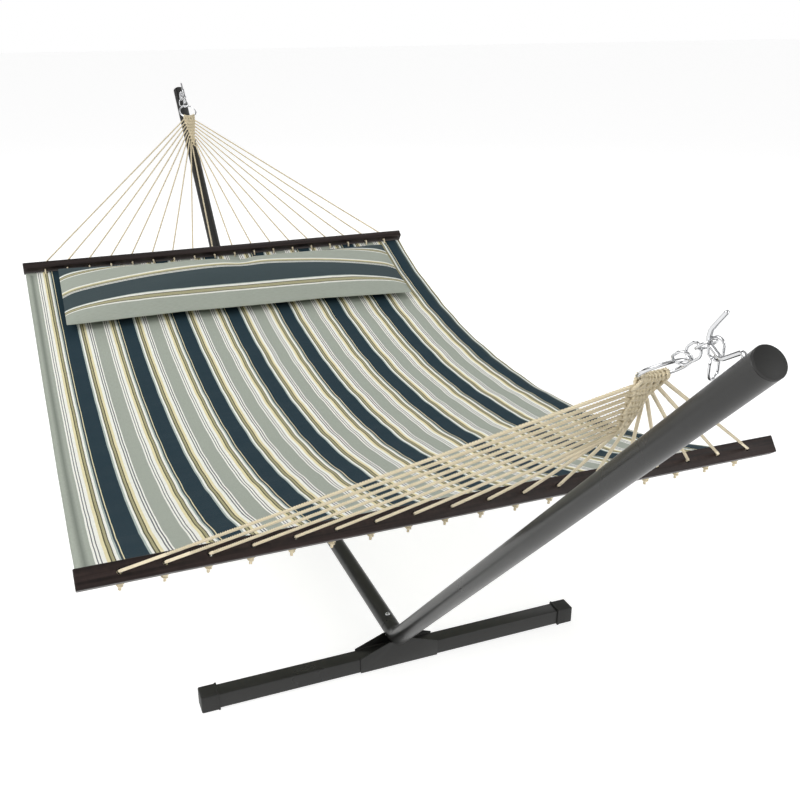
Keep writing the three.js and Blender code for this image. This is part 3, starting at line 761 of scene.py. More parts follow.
class HAMMOCK_OT_steel_stand(bpy.types.Operator):
    """Build the floor beam, the bent arms, the cross feet, their plates, caps and screws"""
    bl_idname = "hammock.steel_stand"
    bl_label = "Steel stand"

    def execute(self, context):
        sizes = stand_sizes()
        elbow, direction, top = arm_axis()
        low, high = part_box("floor_beam")
        beam_height = node_middle("floor_beam").z
        beam = self.rolled_tube([Vector((low.x, 0, beam_height)), Vector((high.x, 0, beam_height))])
        finish_piece("floor_beam_tube", beam, finishes["steel"], "black_steel", "stand", "floor_beam")

        seam = Vector((high.x + SEAM_GAP, 0, beam_height))
        arm_end = top - direction * (ARM_CAP_WALL + SEAM_GAP / 2)
        arm = self.rolled_tube(rounded([seam, elbow, arm_end], [sizes.bend_radius], 24))
        both_ends("arm_tube", arm, finishes["steel"], "black_steel", "stand", "arm")
        shown = Vector((SPIGOT_SHOWN, 0, 0))
        collar = tube([seam - shown, seam + shown], sizes.tube_radius - SPIGOT_EASE, 48)
        both_ends("seam_spigot", collar, finishes["plastic"], "black_plastic", "stand")

        radius = sizes.tube_radius
        plug = radius - ARM_CAP_PLUG_EASE
        cap = lathe([(0, -ARM_CAP_PLUG), (plug, -ARM_CAP_PLUG), (plug, -ARM_CAP_WALL),
                     (radius, -ARM_CAP_WALL), (radius, -0.0022), (radius - 0.0007, -0.0008),
                     (radius - 0.0022, 0), (0, 0)], direction, top, TUBE_SIDES)
        both_ends("arm_end_cap", cap, finishes["plastic"], "black_plastic", "stand", "arm_cap")

        foot_size, foot_middle = node_size("foot_end_cross_tube"), node_middle("foot_end_cross_tube")
        foot = soft_box(foot_size, foot_middle, sizes.foot_edge, segments=4)
        both_ends("cross_foot", foot, finishes["steel"], "black_steel", "stand", "cross_tube")
        for side in "ab":
            node = f"cross_tube_cap_{side}"
            both_ends(f"foot_cap_{side}", self.foot_cap(f"foot_end_{node}"), finishes["plastic"],
                      "black_plastic", "stand", node)
        for side in ("outer", "inner"):
            node = f"saddle_plate_{side}"
            both_ends(f"saddle_{side}", self.saddle(f"foot_end_{node}"), finishes["steel"],
                      "black_steel", "stand", node)
        both_ends("saddle_welds", self.welds(), finishes["steel"], "black_steel", "stand")
        both_ends("beam_screw", self.screw(), finishes["chrome"], "chrome", "stand", "joint_screw")
        return {"FINISHED"}

    def rolled_tube(self, points):
        """A round tube whose ends have a small rounded lip."""
        radius = stand_sizes().tube_radius
        first = points[0].lerp(points[1], TUBE_LIP / (points[1] - points[0]).length)
        last = points[-1].lerp(points[-2], TUBE_LIP / (points[-2] - points[-1]).length)
        points = [points[0], first, *points[1:-1], last, points[-1]]
        inset = 1 - TUBE_LIP / radius
        widths = [inset, *[1.0] * (len(points) - 2), inset]
        return tube(points, radius, TUBE_SIDES, widths=widths)

    def foot_cap(self, node):
        """A square cap with a shallow lip where it meets the cross tube."""
        size, middle = node_size(node), node_middle(node)
        body = soft_box(size, middle, stand_sizes().cap_edge, segments=4)
        lip_size = Vector((size.x + CAP_LIP.x, CAP_LIP.y, size.z + CAP_LIP.z))
        inner = middle.y - math.copysign((size.y - CAP_LIP.y) / 2, middle.y)
        lip_middle = Vector((middle.x, inner, middle.z + CAP_LIP.z / 2))
        return joined("foot_cap", [body, soft_box(lip_size, lip_middle, CAP_LIP_EDGE)])

    def saddle(self, node):
        """The welded plate: a copy of the CAD plate with its doubles merged and edges softened."""
        work = bmesh.new()
        work.from_mesh(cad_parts[node].data)
        bmesh.ops.remove_doubles(work, verts=work.verts, dist=1e-5)
        bmesh.ops.dissolve_limit(work, angle_limit=0.02, verts=work.verts, edges=work.edges)
        sharp = [edge for edge in work.edges if edge.calc_face_angle(0) > 1.0]
        bmesh.ops.bevel(work, geom=sharp, offset=PLATE_EDGE, affect="EDGES", segments=2,
                        profile=0.5, material=-1)
        mesh = bpy.data.meshes.new("saddle")
        work.to_mesh(mesh)
        work.free()
        smooth(mesh, 40)
        return mesh

    def welds(self):
        """Rippled weld beads where the plates meet the top edges of the cross tube."""
        half = node_size("foot_end_saddle_plate_outer").y / 2 * WELD_SPAN
        foot_low, foot_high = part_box("foot_end_cross_tube")
        ripples = [0.8 + 0.35 * abs(math.sin(i * 0.9)) for i in range(WELD_STEPS + 1)]
        beads = []
        for x in (foot_low.x, foot_high.x):
            bead = [Vector((x, half * (2 * i / WELD_STEPS - 1), foot_high.z)) for i in range(WELD_STEPS + 1)]
            beads.append(tube(bead, WELD_RADIUS, 10, widths=ripples))
        return joined("welds", beads)

    def screw(self):
        """A pan head screw with a round socket."""
        middle, size = node_middle("foot_end_joint_screw"), node_size("foot_end_joint_screw")
        head = size.x / 2
        profile = [(0, -SCREW_LENGTH), (SCREW_SHANK, -SCREW_LENGTH), (SCREW_SHANK, -SCREW_HEAD),
                   (head, -SCREW_HEAD), (head, -0.0022), (head * 0.86, -0.0007), (head * 0.6, 0),
                   (0.0022, 0), (0.0020, -0.0018), (0, -0.0018)]
        return lathe(profile, UP, middle + UP * (size.z / 2), 24)


# ---- Hooks, chains and rings ----------------------------------------------------------------

# The hook's corners, in metres, from its throat out to its tip, and the radius of each bend.
HOOK_THROAT = Vector((1.649, 0, 1.115))
HOOK_HEEL = HOOK_THROAT + along(math.radians(-27)) * 0.029
HOOK_LIP = HOOK_THROAT + along(math.radians(76)) * 0.0162
HOOK_TIP = HOOK_LIP + along(math.radians(50.3)) * 0.036
HOOK_RISE = math.radians(31)
HOOK_BENDS = (0.005, 0.010, 0.009, 0.010)

# The looks' links are this much smaller than the CAD links, which are faceted.
LINK_EASE = 0.00014
# How far the loaded links are turned about the chain, and the spare links about the vertical.
LINK_ROLLS = (-45, 90, 0)
TAIL_TURN = 19


def stadium(node, side, forward, wire, count=48):
    """The closed centre line of a link or ring that fills a CAD node's length and width."""
    low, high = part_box(node)
    corners = [v.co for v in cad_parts[node].data.vertices]
    middle = (low + high) / 2
    half_long = max((corner - middle).dot(forward) for corner in corners) - wire - LINK_EASE
    half_wide = max((corner - middle).dot(side) for corner in corners) - wire - LINK_EASE
    return circle_path(middle, side, forward, half_wide, count, half_long - half_wide)


class HAMMOCK_OT_hooks_and_chains(bpy.types.Operator):
    """Build the chain hooks, the chains, their loose tails and the rings"""
    bl_idname = "hammock.hooks_and_chains"
    bl_label = "Hooks and chains"

    def execute(self, context):
        sizes = stand_sizes()
        chrome = finishes["chrome"]
        both_ends("chain_hook", self.hook(), chrome, "chrome", "stand", "hook")
        pull = along(sizes.chain_angle)
        for number, roll in enumerate(LINK_ROLLS, 1):
            side = Matrix.Rotation(math.radians(roll), 3, pull) @ ACROSS
            path = stadium(f"foot_end_chain_link_{number}", side, pull, sizes.link_wire)
            link = self.welded_link(path, sizes.link_wire)
            both_ends(f"link_{number}", link, chrome, "chrome", "hammock", f"chain_link_{number}")
        turn = Matrix.Rotation(math.radians(TAIL_TURN), 3, "Z")
        tails = (("upper", turn @ Vector((1, 0, 0))), ("lower", turn @ ACROSS))
        for label, side in tails:
            path = stadium(f"foot_end_tail_link_{label}", side, UP, sizes.link_wire)
            link = self.welded_link(path, sizes.link_wire)
            both_ends(f"tail_{label}", link, chrome, "chrome", "{end}_tail_" + label, f"tail_link_{label}")
        ring = stadium("foot_end_ring", ACROSS, pull, sizes.ring_wire, 96)
        both_ends("clew_ring", self.welded_link(ring, sizes.ring_wire), chrome, "chrome", "hammock", "ring")
        lift = along(sizes.chain_angle + math.pi / 2)
        collar = lathe([(0, -0.001), (0.0048, -0.001), (0.0048, 0.0012), (0.0042, 0.0018), (0, 0.0018)],
                       lift, self.entry(), 24)
        both_ends("hook_collar", collar, chrome, "chrome", "stand")
        return {"FINISHED"}

    def hook_corners(self):
        """The hook rod's corners, from its end in the arm out to its tip."""
        sizes = stand_sizes()
        elbow, direction = arm_axis()[:2]
        inward = Vector((direction.z, 0, -direction.x))
        rise = along(HOOK_RISE)
        offset = sizes.tube_radius + 2 * sizes.rod_radius
        climb = (elbow - inward * offset - HOOK_HEEL).dot(inward) / rise.dot(inward)
        neck = HOOK_HEEL + rise * climb
        return [neck + inward * offset, neck, HOOK_HEEL, HOOK_THROAT, HOOK_LIP, HOOK_TIP]

    def entry(self):
        """Where the hook rod enters the arm."""
        end, neck = self.hook_corners()[:2]
        return neck + (end - neck).normalized() * (2 * stand_sizes().rod_radius)

    def hook(self):
        """The bent rod of a hook, with a round nose at its tip."""
        radius = stand_sizes().rod_radius
        path = rounded(self.hook_corners(), HOOK_BENDS, 14)
        last = (path[-1] - path[-2]).normalized()
        tip = path.pop()
        nose = [i / 6 for i in range(7)]
        widths = [1.0] * len(path) + [math.sqrt(max(0.0004, 1 - share * share)) for share in nose]
        path += [tip + last * (radius * (share - 1)) for share in nose]
        return tube(path, radius, 28, widths=widths)

    def welded_link(self, path, wire):
        """A closed link with a slight swelling at its weld."""
        count = len(path)
        weld = count * 3 // 8
        widths = [1 + 0.10 * math.exp(-((i - weld) / 1.2) ** 2) for i in range(count)]
        return tube(path, wire, 16, closed=True, widths=widths)


# ---- Ropes ----------------------------------------------------------------------------------

HOLES = 18
COLUMNS = 9
COLUMN_PITCH = 0.0048
ROW_START = 0.012
ROW_PITCH = 0.013
CLEW_HALF_WIDTH = 0.0215
CLEW_TIP_HALF_WIDTH = 0.004
WEAVE_LIFT = 0.0043
EYELET_INSET = 0.012
KNOT_TURN_RADIUS = 0.0048
KNOT_TURNS = 2.1
KNOT_STEPS = 21
KNOT_HEIGHT = 0.0095
STRAND_PEAK = 1.06
STRAND_GROOVE = 0.62
ROPE_STEP = 0.0016

BED_LOW, BED_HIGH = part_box("bed")
BED_END_STEEPENING = 0.07


def bed_height(x):
    """Height of the middle of the bed's thickness."""
    thickness = bed_sizes().bed_thickness
    sag = BED_HIGH.z - BED_LOW.z - thickness
    square = (x / BED_HIGH.x) ** 2
    rise = square + (square ** 2 - square) * BED_END_STEEPENING
    return BED_HIGH.z - thickness / 2 - sag * (1 - rise)


def hole_y(hole):
    """How far across the bar a rope hole is."""
    return (hole - (HOLES - 1) / 2) * bed_sizes().hole_pitch


class HAMMOCK_OT_rope_harness(bpy.types.Operator):
    """Weave the clews and run the twisted ropes through the bars to their knots"""
    bl_idname = "hammock.rope_harness"
    bl_label = "Rope harness"

    def execute(self, context):
        sizes = bed_sizes()
        profile = self.three_strand_profile(sizes.rope_radius)
        curve = new_curve()
        curve.bevel_mode = "OBJECT"
        curve.bevel_object = profile
        for column in range(COLUMNS):
            for layer in (0, 1):
                path = evenly(self.strand_path(column, layer), ROPE_STEP)
                turn = 2 * math.pi * ROPE_STEP / sizes.rope_lay
                add_spline(curve, path, tilts=[i * turn for i in range(len(path))])
        mesh = mesh_of_curve(curve)
        bpy.data.objects.remove(profile)
        smooth(mesh, 80)
        both_ends("ropes", mesh, finishes["rope"], "rope", "hammock", "rope_harness")
        return {"FINISHED"}

    def three_strand_profile(self, radius):
        """A closed outline with three round lobes."""
        curve = bpy.data.curves.new("strands", "CURVE")
        curve.dimensions = "2D"
        points = []
        for i in range(9):
            angle = 2 * math.pi * i / 9
            reach = radius * (STRAND_PEAK if i % 3 else STRAND_GROOVE)
            points.append(Vector((reach * math.cos(angle), reach * math.sin(angle), 0)))
        add_spline(curve, points, closed=True)
        return add_object("strands", curve)

    def ring_radius(self):
        """The radius of the middle of the ring's wire."""
        return node_size("foot_end_ring").y / 2 - stand_sizes().ring_wire

    def clew_point(self, across, down, lift):
        """A point of the clew: across the ring, down the clew and out of its plane."""
        angle = bed_sizes().clew_angle
        top = node_middle("foot_end_ring") - along(stand_sizes().chain_angle) * self.ring_radius()
        return top - along(angle) * down + along(angle + math.pi / 2) * lift + ACROSS * across

    def ring_rise(self, across):
        """How far the ring's wire curves up from the clew's top, this far from its middle."""
        return self.ring_radius() - math.sqrt(self.ring_radius() ** 2 - across ** 2)

    def strand_path(self, column, layer):
        """One strand: over the ring, down its column of the weave, across, and on to its hole."""
        sizes = bed_sizes()
        rope = sizes.rope_radius
        across = (column - (COLUMNS - 1) / 2) * COLUMN_PITCH
        depth = min(column, COLUMNS - 1 - column)
        middle_column = column == COLUMNS // 2
        row = COLUMNS - 1 if middle_column else 2 * depth + layer
        goes_right = (layer == 0) if middle_column else column < COLUMNS // 2
        side = 1 if goes_right else -1

        rise = self.ring_rise(across)
        pull = along(stand_sizes().chain_angle)
        grip = stand_sizes().ring_wire + rope
        corners = []
        for i in range(5):
            angle = math.pi / 2 * (1 - i / 4)
            around = self.clew_point(across, -grip * math.sin(angle),
                                     grip * math.cos(angle) * (1 if layer == 0 else -1))
            corners.append(around + pull * rise)
        for crossed in range(row):
            sign = 1 if (crossed + layer + column) % 2 == 0 else -1
            corners.append(self.clew_point(across, ROW_START + crossed * ROW_PITCH, sign * WEAVE_LIFT))
        weft = ROW_START + row * ROW_PITCH - side * rope
        corners.append(self.clew_point(across, weft, 0))
        half_width = CLEW_HALF_WIDTH + (CLEW_TIP_HALF_WIDTH - CLEW_HALF_WIDTH) * weft / sizes.clew_length
        corners.append(self.clew_point(side * (half_width + rope), weft, 0))
        clew_radii = [0.003] * 4 + [0.006] * (len(corners) - 6) + [0.004, 0.006]

        hole = HOLES - 1 - row if goes_right else row
        tail, tail_radii = self.through_bar(hole_y(hole))
        knot = self.knot(hole_y(hole))
        knot_radii = [0.003] * len(knot)
        return rounded(corners + tail + knot, [*clew_radii, *tail_radii, *knot_radii], 6)

    def through_bar(self, y):
        """Corners from the bar's outer face, through its hole and down through the bed."""
        sizes = bed_sizes()
        bar = node_middle("foot_end_spreader_bar")
        through = along(sizes.bar_tilt)
        reach = sizes.bar_thickness / 2 + sizes.rope_radius
        eyelet = BED_HIGH.x - EYELET_INSET
        top = bed_height(eyelet) + sizes.bed_thickness / 2
        corners = [
            bar + through * reach + ACROSS * y,
            bar - through * reach + ACROSS * y,
            Vector((eyelet + 0.006, y, top + 0.0125)),
            Vector((eyelet, y, top + 0.0105)),
        ]
        return corners, [0.005, 0.005, 0.005, 0.005]

    def knot(self, y):
        """A two-turn knot under the bed, and the rope's short tail."""
        eyelet = BED_HIGH.x - EYELET_INSET
        under = bed_height(eyelet) - bed_sizes().bed_thickness / 2 - 0.0015
        points = [Vector((eyelet, y, under))]
        for i in range(1, KNOT_STEPS + 1):
            angle = 2 * math.pi * KNOT_TURNS * i / KNOT_STEPS
            points.append(Vector((eyelet + KNOT_TURN_RADIUS * math.cos(angle),
                                  y + KNOT_TURN_RADIUS * math.sin(angle),
                                  under - 0.0015 - KNOT_HEIGHT * i / KNOT_STEPS)))
        points.append(Vector((eyelet, y - 0.001, under - 0.0130)))
        points.append(Vector((eyelet + 0.001, y - 0.002, under - 0.0200)))
        return points


# ---- Spreader bars --------------------------------------------------------------------------

BAR_EDGE = 0.0022
DRILL_REACH = 0.03


class HAMMOCK_OT_spreader_bars(bpy.types.Operator):
    """Build the wooden spreader bars with their rope holes"""
    bl_idname = "hammock.spreader_bars"
    bl_label = "Spreader bars"

    def execute(self, context):
        sizes = bed_sizes()
        middle = node_middle("foot_end_spreader_bar")
        length = node_size("foot_end_spreader_bar").y
        turn = Matrix.Rotation(-sizes.bar_tilt, 3, "Y")
        size = Vector((sizes.bar_thickness, length, sizes.bar_face))
        bar = add_object("bar", soft_box(size, middle, BAR_EDGE, turn, 4))
        drills = []
        through = along(sizes.bar_tilt) * DRILL_REACH
        for hole in range(HOLES):
            centre = middle + ACROSS * hole_y(hole)
            drills.append(tube([centre - through, centre + through], sizes.hole_radius, 20))
        drill = add_object("drill", joined("drill", drills))
        cut = bar.modifiers.new("holes", "BOOLEAN")
        cut.operation = "DIFFERENCE"
        cut.solver = "EXACT"
        cut.object = drill
        depsgraph = context.evaluated_depsgraph_get()
        mesh = bpy.data.meshes.new_from_object(bar.evaluated_get(depsgraph))
        for helper in (bar, drill):
            bpy.data.objects.remove(helper)
        smooth(mesh, 40)
        both_ends("wooden_bar", mesh, finishes["wood"], "dark_wood", "hammock", "spreader_bar")
        return {"FINISHED"}


# ---- Bed ------------------------------------------------------------------------------------

BED_CELL = 0.0095
SEAM_HALF_WIDTH = BED_CELL * 0.75
PADDING_RISE = 0.02
HEM_FILL = 0.45
EDGE_FILL = 0.25
EDGE_WIDTH = 0.004


def arc_lengths(end_x, steps=400):
    """Pairs of (distance along the bed's curve from its middle, x), for x from 0 to its end."""
    pairs, distance = [(0.0, 0.0)], 0.0
    for i in range(1, steps + 1):
        x0, x1 = end_x * (i - 1) / steps, end_x * i / steps
        distance += math.hypot(x1 - x0, bed_height(x1) - bed_height(x0))
        pairs.append((distance, x1))
    return pairs


def x_at_arc(pairs, distance):
    """The x whose distance along the bed's curve is this one."""
    goal = abs(distance)
    index = min(len(pairs) - 2, int(goal / pairs[-1][0] * (len(pairs) - 1)))
    while index > 0 and pairs[index][0] > goal:
        index -= 1
    while index < len(pairs) - 2 and pairs[index + 1][0] < goal:
        index += 1
    (d0, x0), (d1, x1) = pairs[index], pairs[index + 1]
    return math.copysign(x0 + (x1 - x0) * (goal - d0) / (d1 - d0), distance)


def mark_seam(mesh, strength):
    """Stores, for each point, how much of a sewn seam runs through it."""
    attribute = mesh.attributes.new("seam", "FLOAT", "POINT")
    attribute.data.foreach_set("value", strength)


class HAMMOCK_OT_bed(bpy.types.Operator):
    """Build the sagging, padded and hemmed bed of striped cloth"""
    bl_idname = "hammock.bed"
    bl_label = "Bed"

    def execute(self, context):
        sizes = bed_sizes()
        pairs = arc_lengths(BED_HIGH.x)
        arc = pairs[-1][0]
        width = node_size("bed").y
        columns, rows = round(2 * arc / BED_CELL), round(width / BED_CELL)
        work = bmesh.new()
        bmesh.ops.create_grid(work, x_segments=columns, y_segments=rows, size=1)
        layer = work.loops.layers.uv.new("flat_cloth")
        for face in work.faces:
            for loop in face.loops:
                loop[layer].uv = (loop.vert.co.x * arc, loop.vert.co.y * width / 2)
        seams, fills = [], []
        for vert in work.verts:
            along_bed, y = vert.co.x * arc, vert.co.y * width / 2
            x = x_at_arc(pairs, along_bed)
            edge = width / 2 - abs(y)
            end_gap = arc - abs(along_bed)
            vert.co = Vector((x, y, bed_height(x))) + self.relief(along_bed, y, edge, end_gap)
            seams.append(self.seam_at(edge, end_gap))
            fills.append(self.fill_at(edge, end_gap))
        mesh = bpy.data.meshes.new("bed_cloth")
        work.to_mesh(mesh)
        work.free()
        mark_seam(mesh, seams)
        smooth(mesh, 60)
        piece = finish_piece("bed_cloth", mesh, finishes["cloth"], "striped_cloth", "hammock", "bed")
        padding = piece.vertex_groups.new(name="padding")
        for index, fill in enumerate(fills):
            padding.add([index], fill, "REPLACE")
        solid = piece.modifiers.new("padding", "SOLIDIFY")
        solid.thickness = sizes.bed_thickness
        solid.offset = 0
        solid.vertex_group = "padding"
        solid.thickness_vertex_group = 0.1
        return {"FINISHED"}

    def seam_at(self, edge, end_gap):
        """1 on the hem's line of stitches and 0 away from it."""
        hem = bed_sizes().hem_width
        return max(0.0, 1 - abs(edge - hem) / SEAM_HALF_WIDTH) if end_gap > hem else 0.0

    def fill_at(self, edge, end_gap):
        """How much of its full thickness the padding has: less in the hems and at their seams."""
        hem = bed_sizes().hem_width
        inside = min(1.0, max(0.0, (min(edge, end_gap) - hem) / PADDING_RISE))
        fill = HEM_FILL if min(edge, end_gap) > EDGE_WIDTH else EDGE_FILL
        fill += (1 - fill) * inside * inside * (3 - 2 * inside)
        return fill - 0.06 * self.seam_at(edge, end_gap)

    def relief(self, along_bed, y, edge, end_gap):
        """Low waves across the bed, soft puckers and sinking edges, which fade out at the bars."""
        fade = min(1.0, end_gap / 0.12)
        wave = 0.0011 * math.sin(along_bed * 27 + 2.1 * math.sin(y * 3.1) + 0.6)
        wave += 0.0008 * math.sin(along_bed * 46 - 1.4 * y + 1.7)
        slow = 0.0040 * noise.noise(Vector((along_bed * 2.6, y * 1.6, 3.7)))
        fine = 0.0010 * noise.noise(Vector((along_bed * 22, y * 7, 9.1)))
        curl = -0.004 * math.exp(-edge / 0.02) * (1 + 0.6 * math.sin(along_bed * 11))
        return UP * ((wave + slow + fine) * fade + curl * fade)


# ---- Pillow ---------------------------------------------------------------------------------

PILLOW_CELL = 0.012
PILLOW_FRAMES = 24
PILLOW_PRESSURE = 1.6
# How much of the simulation's movement across the bed is kept.
PILLOW_PULL_IN = 0.22
PILLOW_CREASE = 0.2
PILLOW_MIDDLE_X = -0.826
PILLOW_TURN = math.radians(-1.4)
PILLOW_LIFT = 0.003


class HAMMOCK_OT_pillow(bpy.types.Operator):
    """Blow up the sewn pillow cover with a cloth simulation and lay it on the bed"""
    bl_idname = "hammock.pillow"
    bl_label = "Pillow"

    def execute(self, context):
        sizes = bed_sizes()
        cover = self.sewn_cover(sizes.pillow_width, sizes.pillow_length)
        flat = [vert.co.copy() for vert in cover.vertices]
        blown = self.blown_up(context, cover)
        mesh = self.laid_on_bed(blown, flat)
        piece = finish_piece("pillow_cushion", mesh, finishes["pillow"], "pillow_cloth", "hammock", "pillow")
        finer = piece.modifiers.new("smoothing", "SUBSURF")
        finer.levels = finer.render_levels = 1
        return {"FINISHED"}

    def sewn_cover(self, width, length):
        """Two layers of flat cloth, sewn to each other around their edge."""
        work = bmesh.new()
        columns, rows = round(width / PILLOW_CELL), round(length / PILLOW_CELL)
        bmesh.ops.create_grid(work, x_segments=columns, y_segments=rows, size=1)
        bmesh.ops.scale(work, vec=(width / 2, length / 2, 1), verts=work.verts)
        layer = work.loops.layers.uv.new("flat_cloth")
        for face in work.faces:
            for loop in face.loops:
                loop[layer].uv = (loop.vert.co.x - width / 2, loop.vert.co.y)
        upper = work.faces[:]
        lower = bmesh.ops.duplicate(work, geom=work.verts[:] + work.edges[:] + upper)["geom"]
        lower_faces = [item for item in lower if isinstance(item, bmesh.types.BMFace)]
        bmesh.ops.reverse_faces(work, faces=lower_faces)
        for layer_faces, sign in ((upper, 1), (lower_faces, -1)):
            for vert in {vert for face in layer_faces for vert in face.verts}:
                inside = min(1 - abs(vert.co.x) / (width / 2), (1 - abs(vert.co.y) / (length / 2)) * 3)
                vert.co.z = sign * 0.012 * min(1.0, max(0.0, inside * 6))
        bmesh.ops.remove_doubles(work, verts=work.verts, dist=1e-5)
        mesh = bpy.data.meshes.new("pillow_cover")
        work.to_mesh(mesh)
        work.free()
        return mesh

    def blown_up(self, context, mesh):
        """The cover after a short pressure simulation."""
        holder = add_object("pillow_cover", mesh)
        cloth = holder.modifiers.new("pressure", "CLOTH")
        cloth.settings.quality = 6
        cloth.settings.mass = 0.3
        cloth.settings.tension_stiffness = 25
        cloth.settings.compression_stiffness = 15
        cloth.settings.shear_stiffness = 8
        cloth.settings.bending_stiffness = 0.6
        cloth.settings.use_pressure = True
        cloth.settings.uniform_pressure_force = PILLOW_PRESSURE
        cloth.settings.effector_weights.gravity = 0
        cloth.collision_settings.use_collision = False
        cloth.point_cache.frame_start = 1
        cloth.point_cache.frame_end = PILLOW_FRAMES
        for number in range(1, PILLOW_FRAMES + 1):
            context.scene.frame_set(number)
        depsgraph = context.evaluated_depsgraph_get()
        result = bpy.data.meshes.new_from_object(holder.evaluated_get(depsgraph))
        bpy.data.objects.remove(holder)
        context.scene.frame_set(1)
        return result

    def laid_on_bed(self, mesh, flat):
        """Turns and lays the cushion: full above, shallow and flat where it rests on the bed."""
        sizes = bed_sizes()
        turn = Matrix.Rotation(PILLOW_TURN, 3, "Z")
        reach = max(vert.co.z for vert in mesh.vertices)
        for vert, start in zip(mesh.vertices, flat):
            pulled = start.lerp(vert.co, PILLOW_PULL_IN)
            across, lengthwise = 2 * pulled.x / sizes.pillow_width, 2 * pulled.y / sizes.pillow_length
            height = vert.co.z / reach
            if height > 0:
                crease = math.exp(-((lengthwise - 0.03) / 0.08) ** 2 - ((across + 0.6) / 0.6) ** 2)
                height = (height - PILLOW_CREASE * crease) * sizes.filled_rise
            else:
                height = -sizes.filled_drop * (1 - math.exp(height / 0.6))
            place = turn @ Vector((pulled.x, pulled.y, 0))
            x = place.x + PILLOW_MIDDLE_X
            bed_top = bed_height(x) + sizes.bed_thickness / 2
            vert.co = Vector((x, place.y, bed_top + PILLOW_LIFT + sizes.filled_drop + height))
        smooth(mesh, 60)
        return mesh


# ---- Stage ----------------------------------------------------------------------------------

CAMERA_PLACE = Vector((2.4901, -0.7094, 1.4726))
CAMERA_AZIMUTH = math.radians(68.26)
CAMERA_ELEVATION = math.radians(22.35)
CAMERA_LENS = 43.91


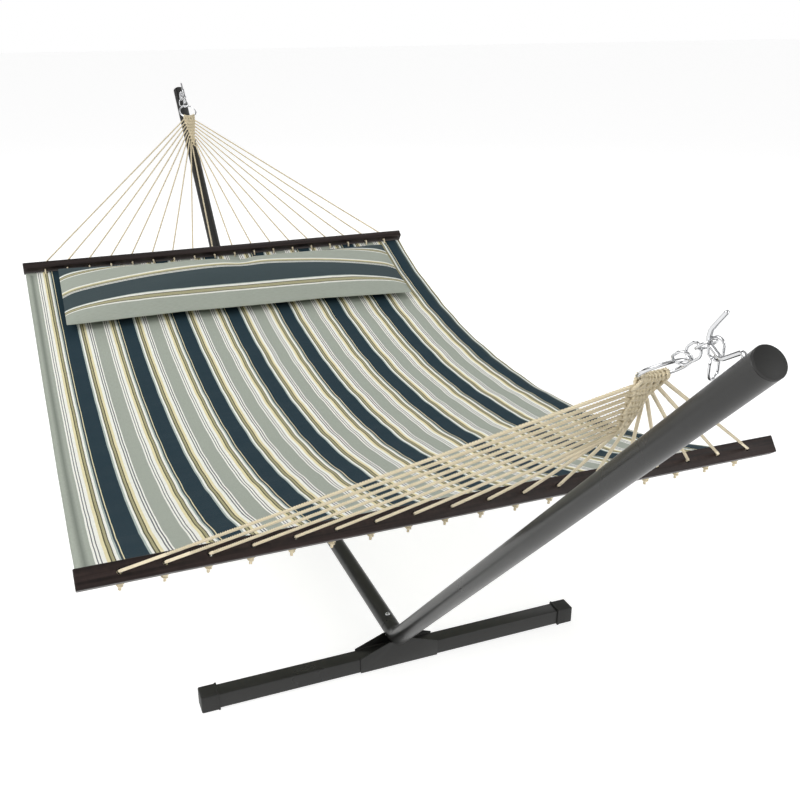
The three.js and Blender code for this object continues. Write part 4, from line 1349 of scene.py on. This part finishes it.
class HAMMOCK_OT_stage(bpy.types.Operator):
    """Set up the camera, the pale floor and the soft studio light"""
    bl_idname = "hammock.stage"
    bl_label = "Stage and camera"

    def execute(self, context):
        self.camera(context)
        self.floor()
        self.lights()
        context.scene.view_settings.view_transform = "Standard"
        return {"FINISHED"}

    def camera(self, context):
        data = bpy.data.cameras.new("camera")
        data.lens = CAMERA_LENS
        data.sensor_width = 36
        data.clip_end = 100
        camera = add_object("camera", data)
        level = math.cos(CAMERA_ELEVATION)
        view = Vector((-math.sin(CAMERA_AZIMUTH) * level, math.cos(CAMERA_AZIMUTH) * level,
                       -math.sin(CAMERA_ELEVATION)))
        camera.location = CAMERA_PLACE
        camera.rotation_euler = view.to_track_quat("-Z", "Y").to_euler()
        context.scene.camera = camera

    def floor(self):
        work = bmesh.new()
        bmesh.ops.create_grid(work, x_segments=1, y_segments=1, size=30)
        mesh = bpy.data.meshes.new("floor")
        work.to_mesh(mesh)
        work.free()
        material, _, shader = new_material("pale floor")
        shader.inputs["Base Color"].default_value = (0.5, 0.5, 0.5, 1)
        shader.inputs["Roughness"].default_value = 0.95
        shader.inputs["Specular IOR Level"].default_value = 0.1
        shader.inputs["Emission Color"].default_value = (1, 1, 1, 1)
        shader.inputs["Emission Strength"].default_value = 0.75
        mesh.materials.append(material)
        add_object("floor", mesh)

    def lights(self):
        world = bpy.data.worlds.new("studio")
        bpy.context.scene.world = world
        world.use_nodes = True
        nodes = Nodes(world.node_tree)
        background = world.node_tree.nodes["Background"]
        place = nodes.add("ShaderNodeTexCoord").outputs["Generated"]
        parts = nodes.add("ShaderNodeSeparateXYZ")
        nodes.link(place, parts.inputs[0])
        ramp = nodes.add("ShaderNodeValToRGB")
        bands = ((0.0, 1.0), (0.05, 1.0), (0.09, 0.03), (0.28, 0.03), (0.36, 0.95), (0.56, 0.95),
                 (0.64, 0.04), (0.82, 0.04), (0.9, 0.6))
        while len(ramp.color_ramp.elements) > 1:
            ramp.color_ramp.elements.remove(ramp.color_ramp.elements[-1])
        for i, (height, light) in enumerate(bands):
            elements = ramp.color_ramp.elements
            stop = elements[0] if i == 0 else elements.new(height)
            stop.position = height
            stop.color = (light, light, light, 1)
        nodes.link(parts.outputs["Z"], ramp.inputs[0])
        seen = nodes.add("ShaderNodeLightPath").outputs["Is Camera Ray"]
        nodes.link(nodes.mix(seen, ramp.outputs["Color"], (1, 1, 1, 1)), background.inputs["Color"])
        background.inputs["Strength"].default_value = 1.0
        for name, place, size, power in (
                ("key softbox", Vector((1.5, -4.5, 4.5)), 4.0, 215),
                ("fill softbox", Vector((5.0, 3.0, 3.0)), 4.0, 95),
                ("back softbox", Vector((-4.0, 1.5, 4.5)), 3.5, 95)):
            data = bpy.data.lights.new(name, "AREA")
            data.size = size
            data.energy = power
            lamp = add_object(name, data)
            lamp.location = place
            lamp.rotation_euler = (Vector((0, 0, 0.4)) - place).to_track_quat("-Z", "Y").to_euler()


# ---- Panel, registration and the build ------------------------------------------------------

OPERATORS = (
    HAMMOCK_OT_stage,
    HAMMOCK_OT_rope_harness,
    HAMMOCK_OT_steel_stand,
    HAMMOCK_OT_hooks_and_chains,
    HAMMOCK_OT_spreader_bars,
    HAMMOCK_OT_bed,
    HAMMOCK_OT_pillow,
)


class HAMMOCK_PT_build(bpy.types.Panel):
    """Lists the steps that build the hammock"""
    bl_idname = "HAMMOCK_PT_build"
    bl_label = "Hammock on Stand"
    bl_space_type = "VIEW_3D"
    bl_region_type = "UI"
    bl_category = "Hammock"

    def draw(self, context):
        for operator in OPERATORS:
            self.layout.operator(operator.bl_idname)
        for group in (context.scene.hammock_stand, context.scene.hammock_bed, context.scene.hammock_colours):
            for name in group.bl_rna.properties.keys():
                if name not in ("rna_type", "name"):
                    self.layout.prop(group, name)


CLASSES = (HammockStandSizes, HammockBedSizes, HammockColours, *OPERATORS, HAMMOCK_PT_build)


def register():
    for item in CLASSES:
        bpy.utils.register_class(item)
    bpy.types.Scene.hammock_stand = bpy.props.PointerProperty(type=HammockStandSizes)
    bpy.types.Scene.hammock_bed = bpy.props.PointerProperty(type=HammockBedSizes)
    bpy.types.Scene.hammock_colours = bpy.props.PointerProperty(type=HammockColours)


def unregister():
    del bpy.types.Scene.hammock_stand
    del bpy.types.Scene.hammock_bed
    del bpy.types.Scene.hammock_colours
    for item in reversed(CLASSES):
        bpy.utils.unregister_class(item)


def main():
    register()
    make_finishes()
    bpy.ops.hammock.stage()
    bpy.ops.hammock.rope_harness()
    bpy.ops.hammock.steel_stand()
    bpy.ops.hammock.hooks_and_chains()
    bpy.ops.hammock.spreader_bars()
    bpy.ops.hammock.bed()
    bpy.ops.hammock.pillow()


if __name__ == "__main__":
    main()
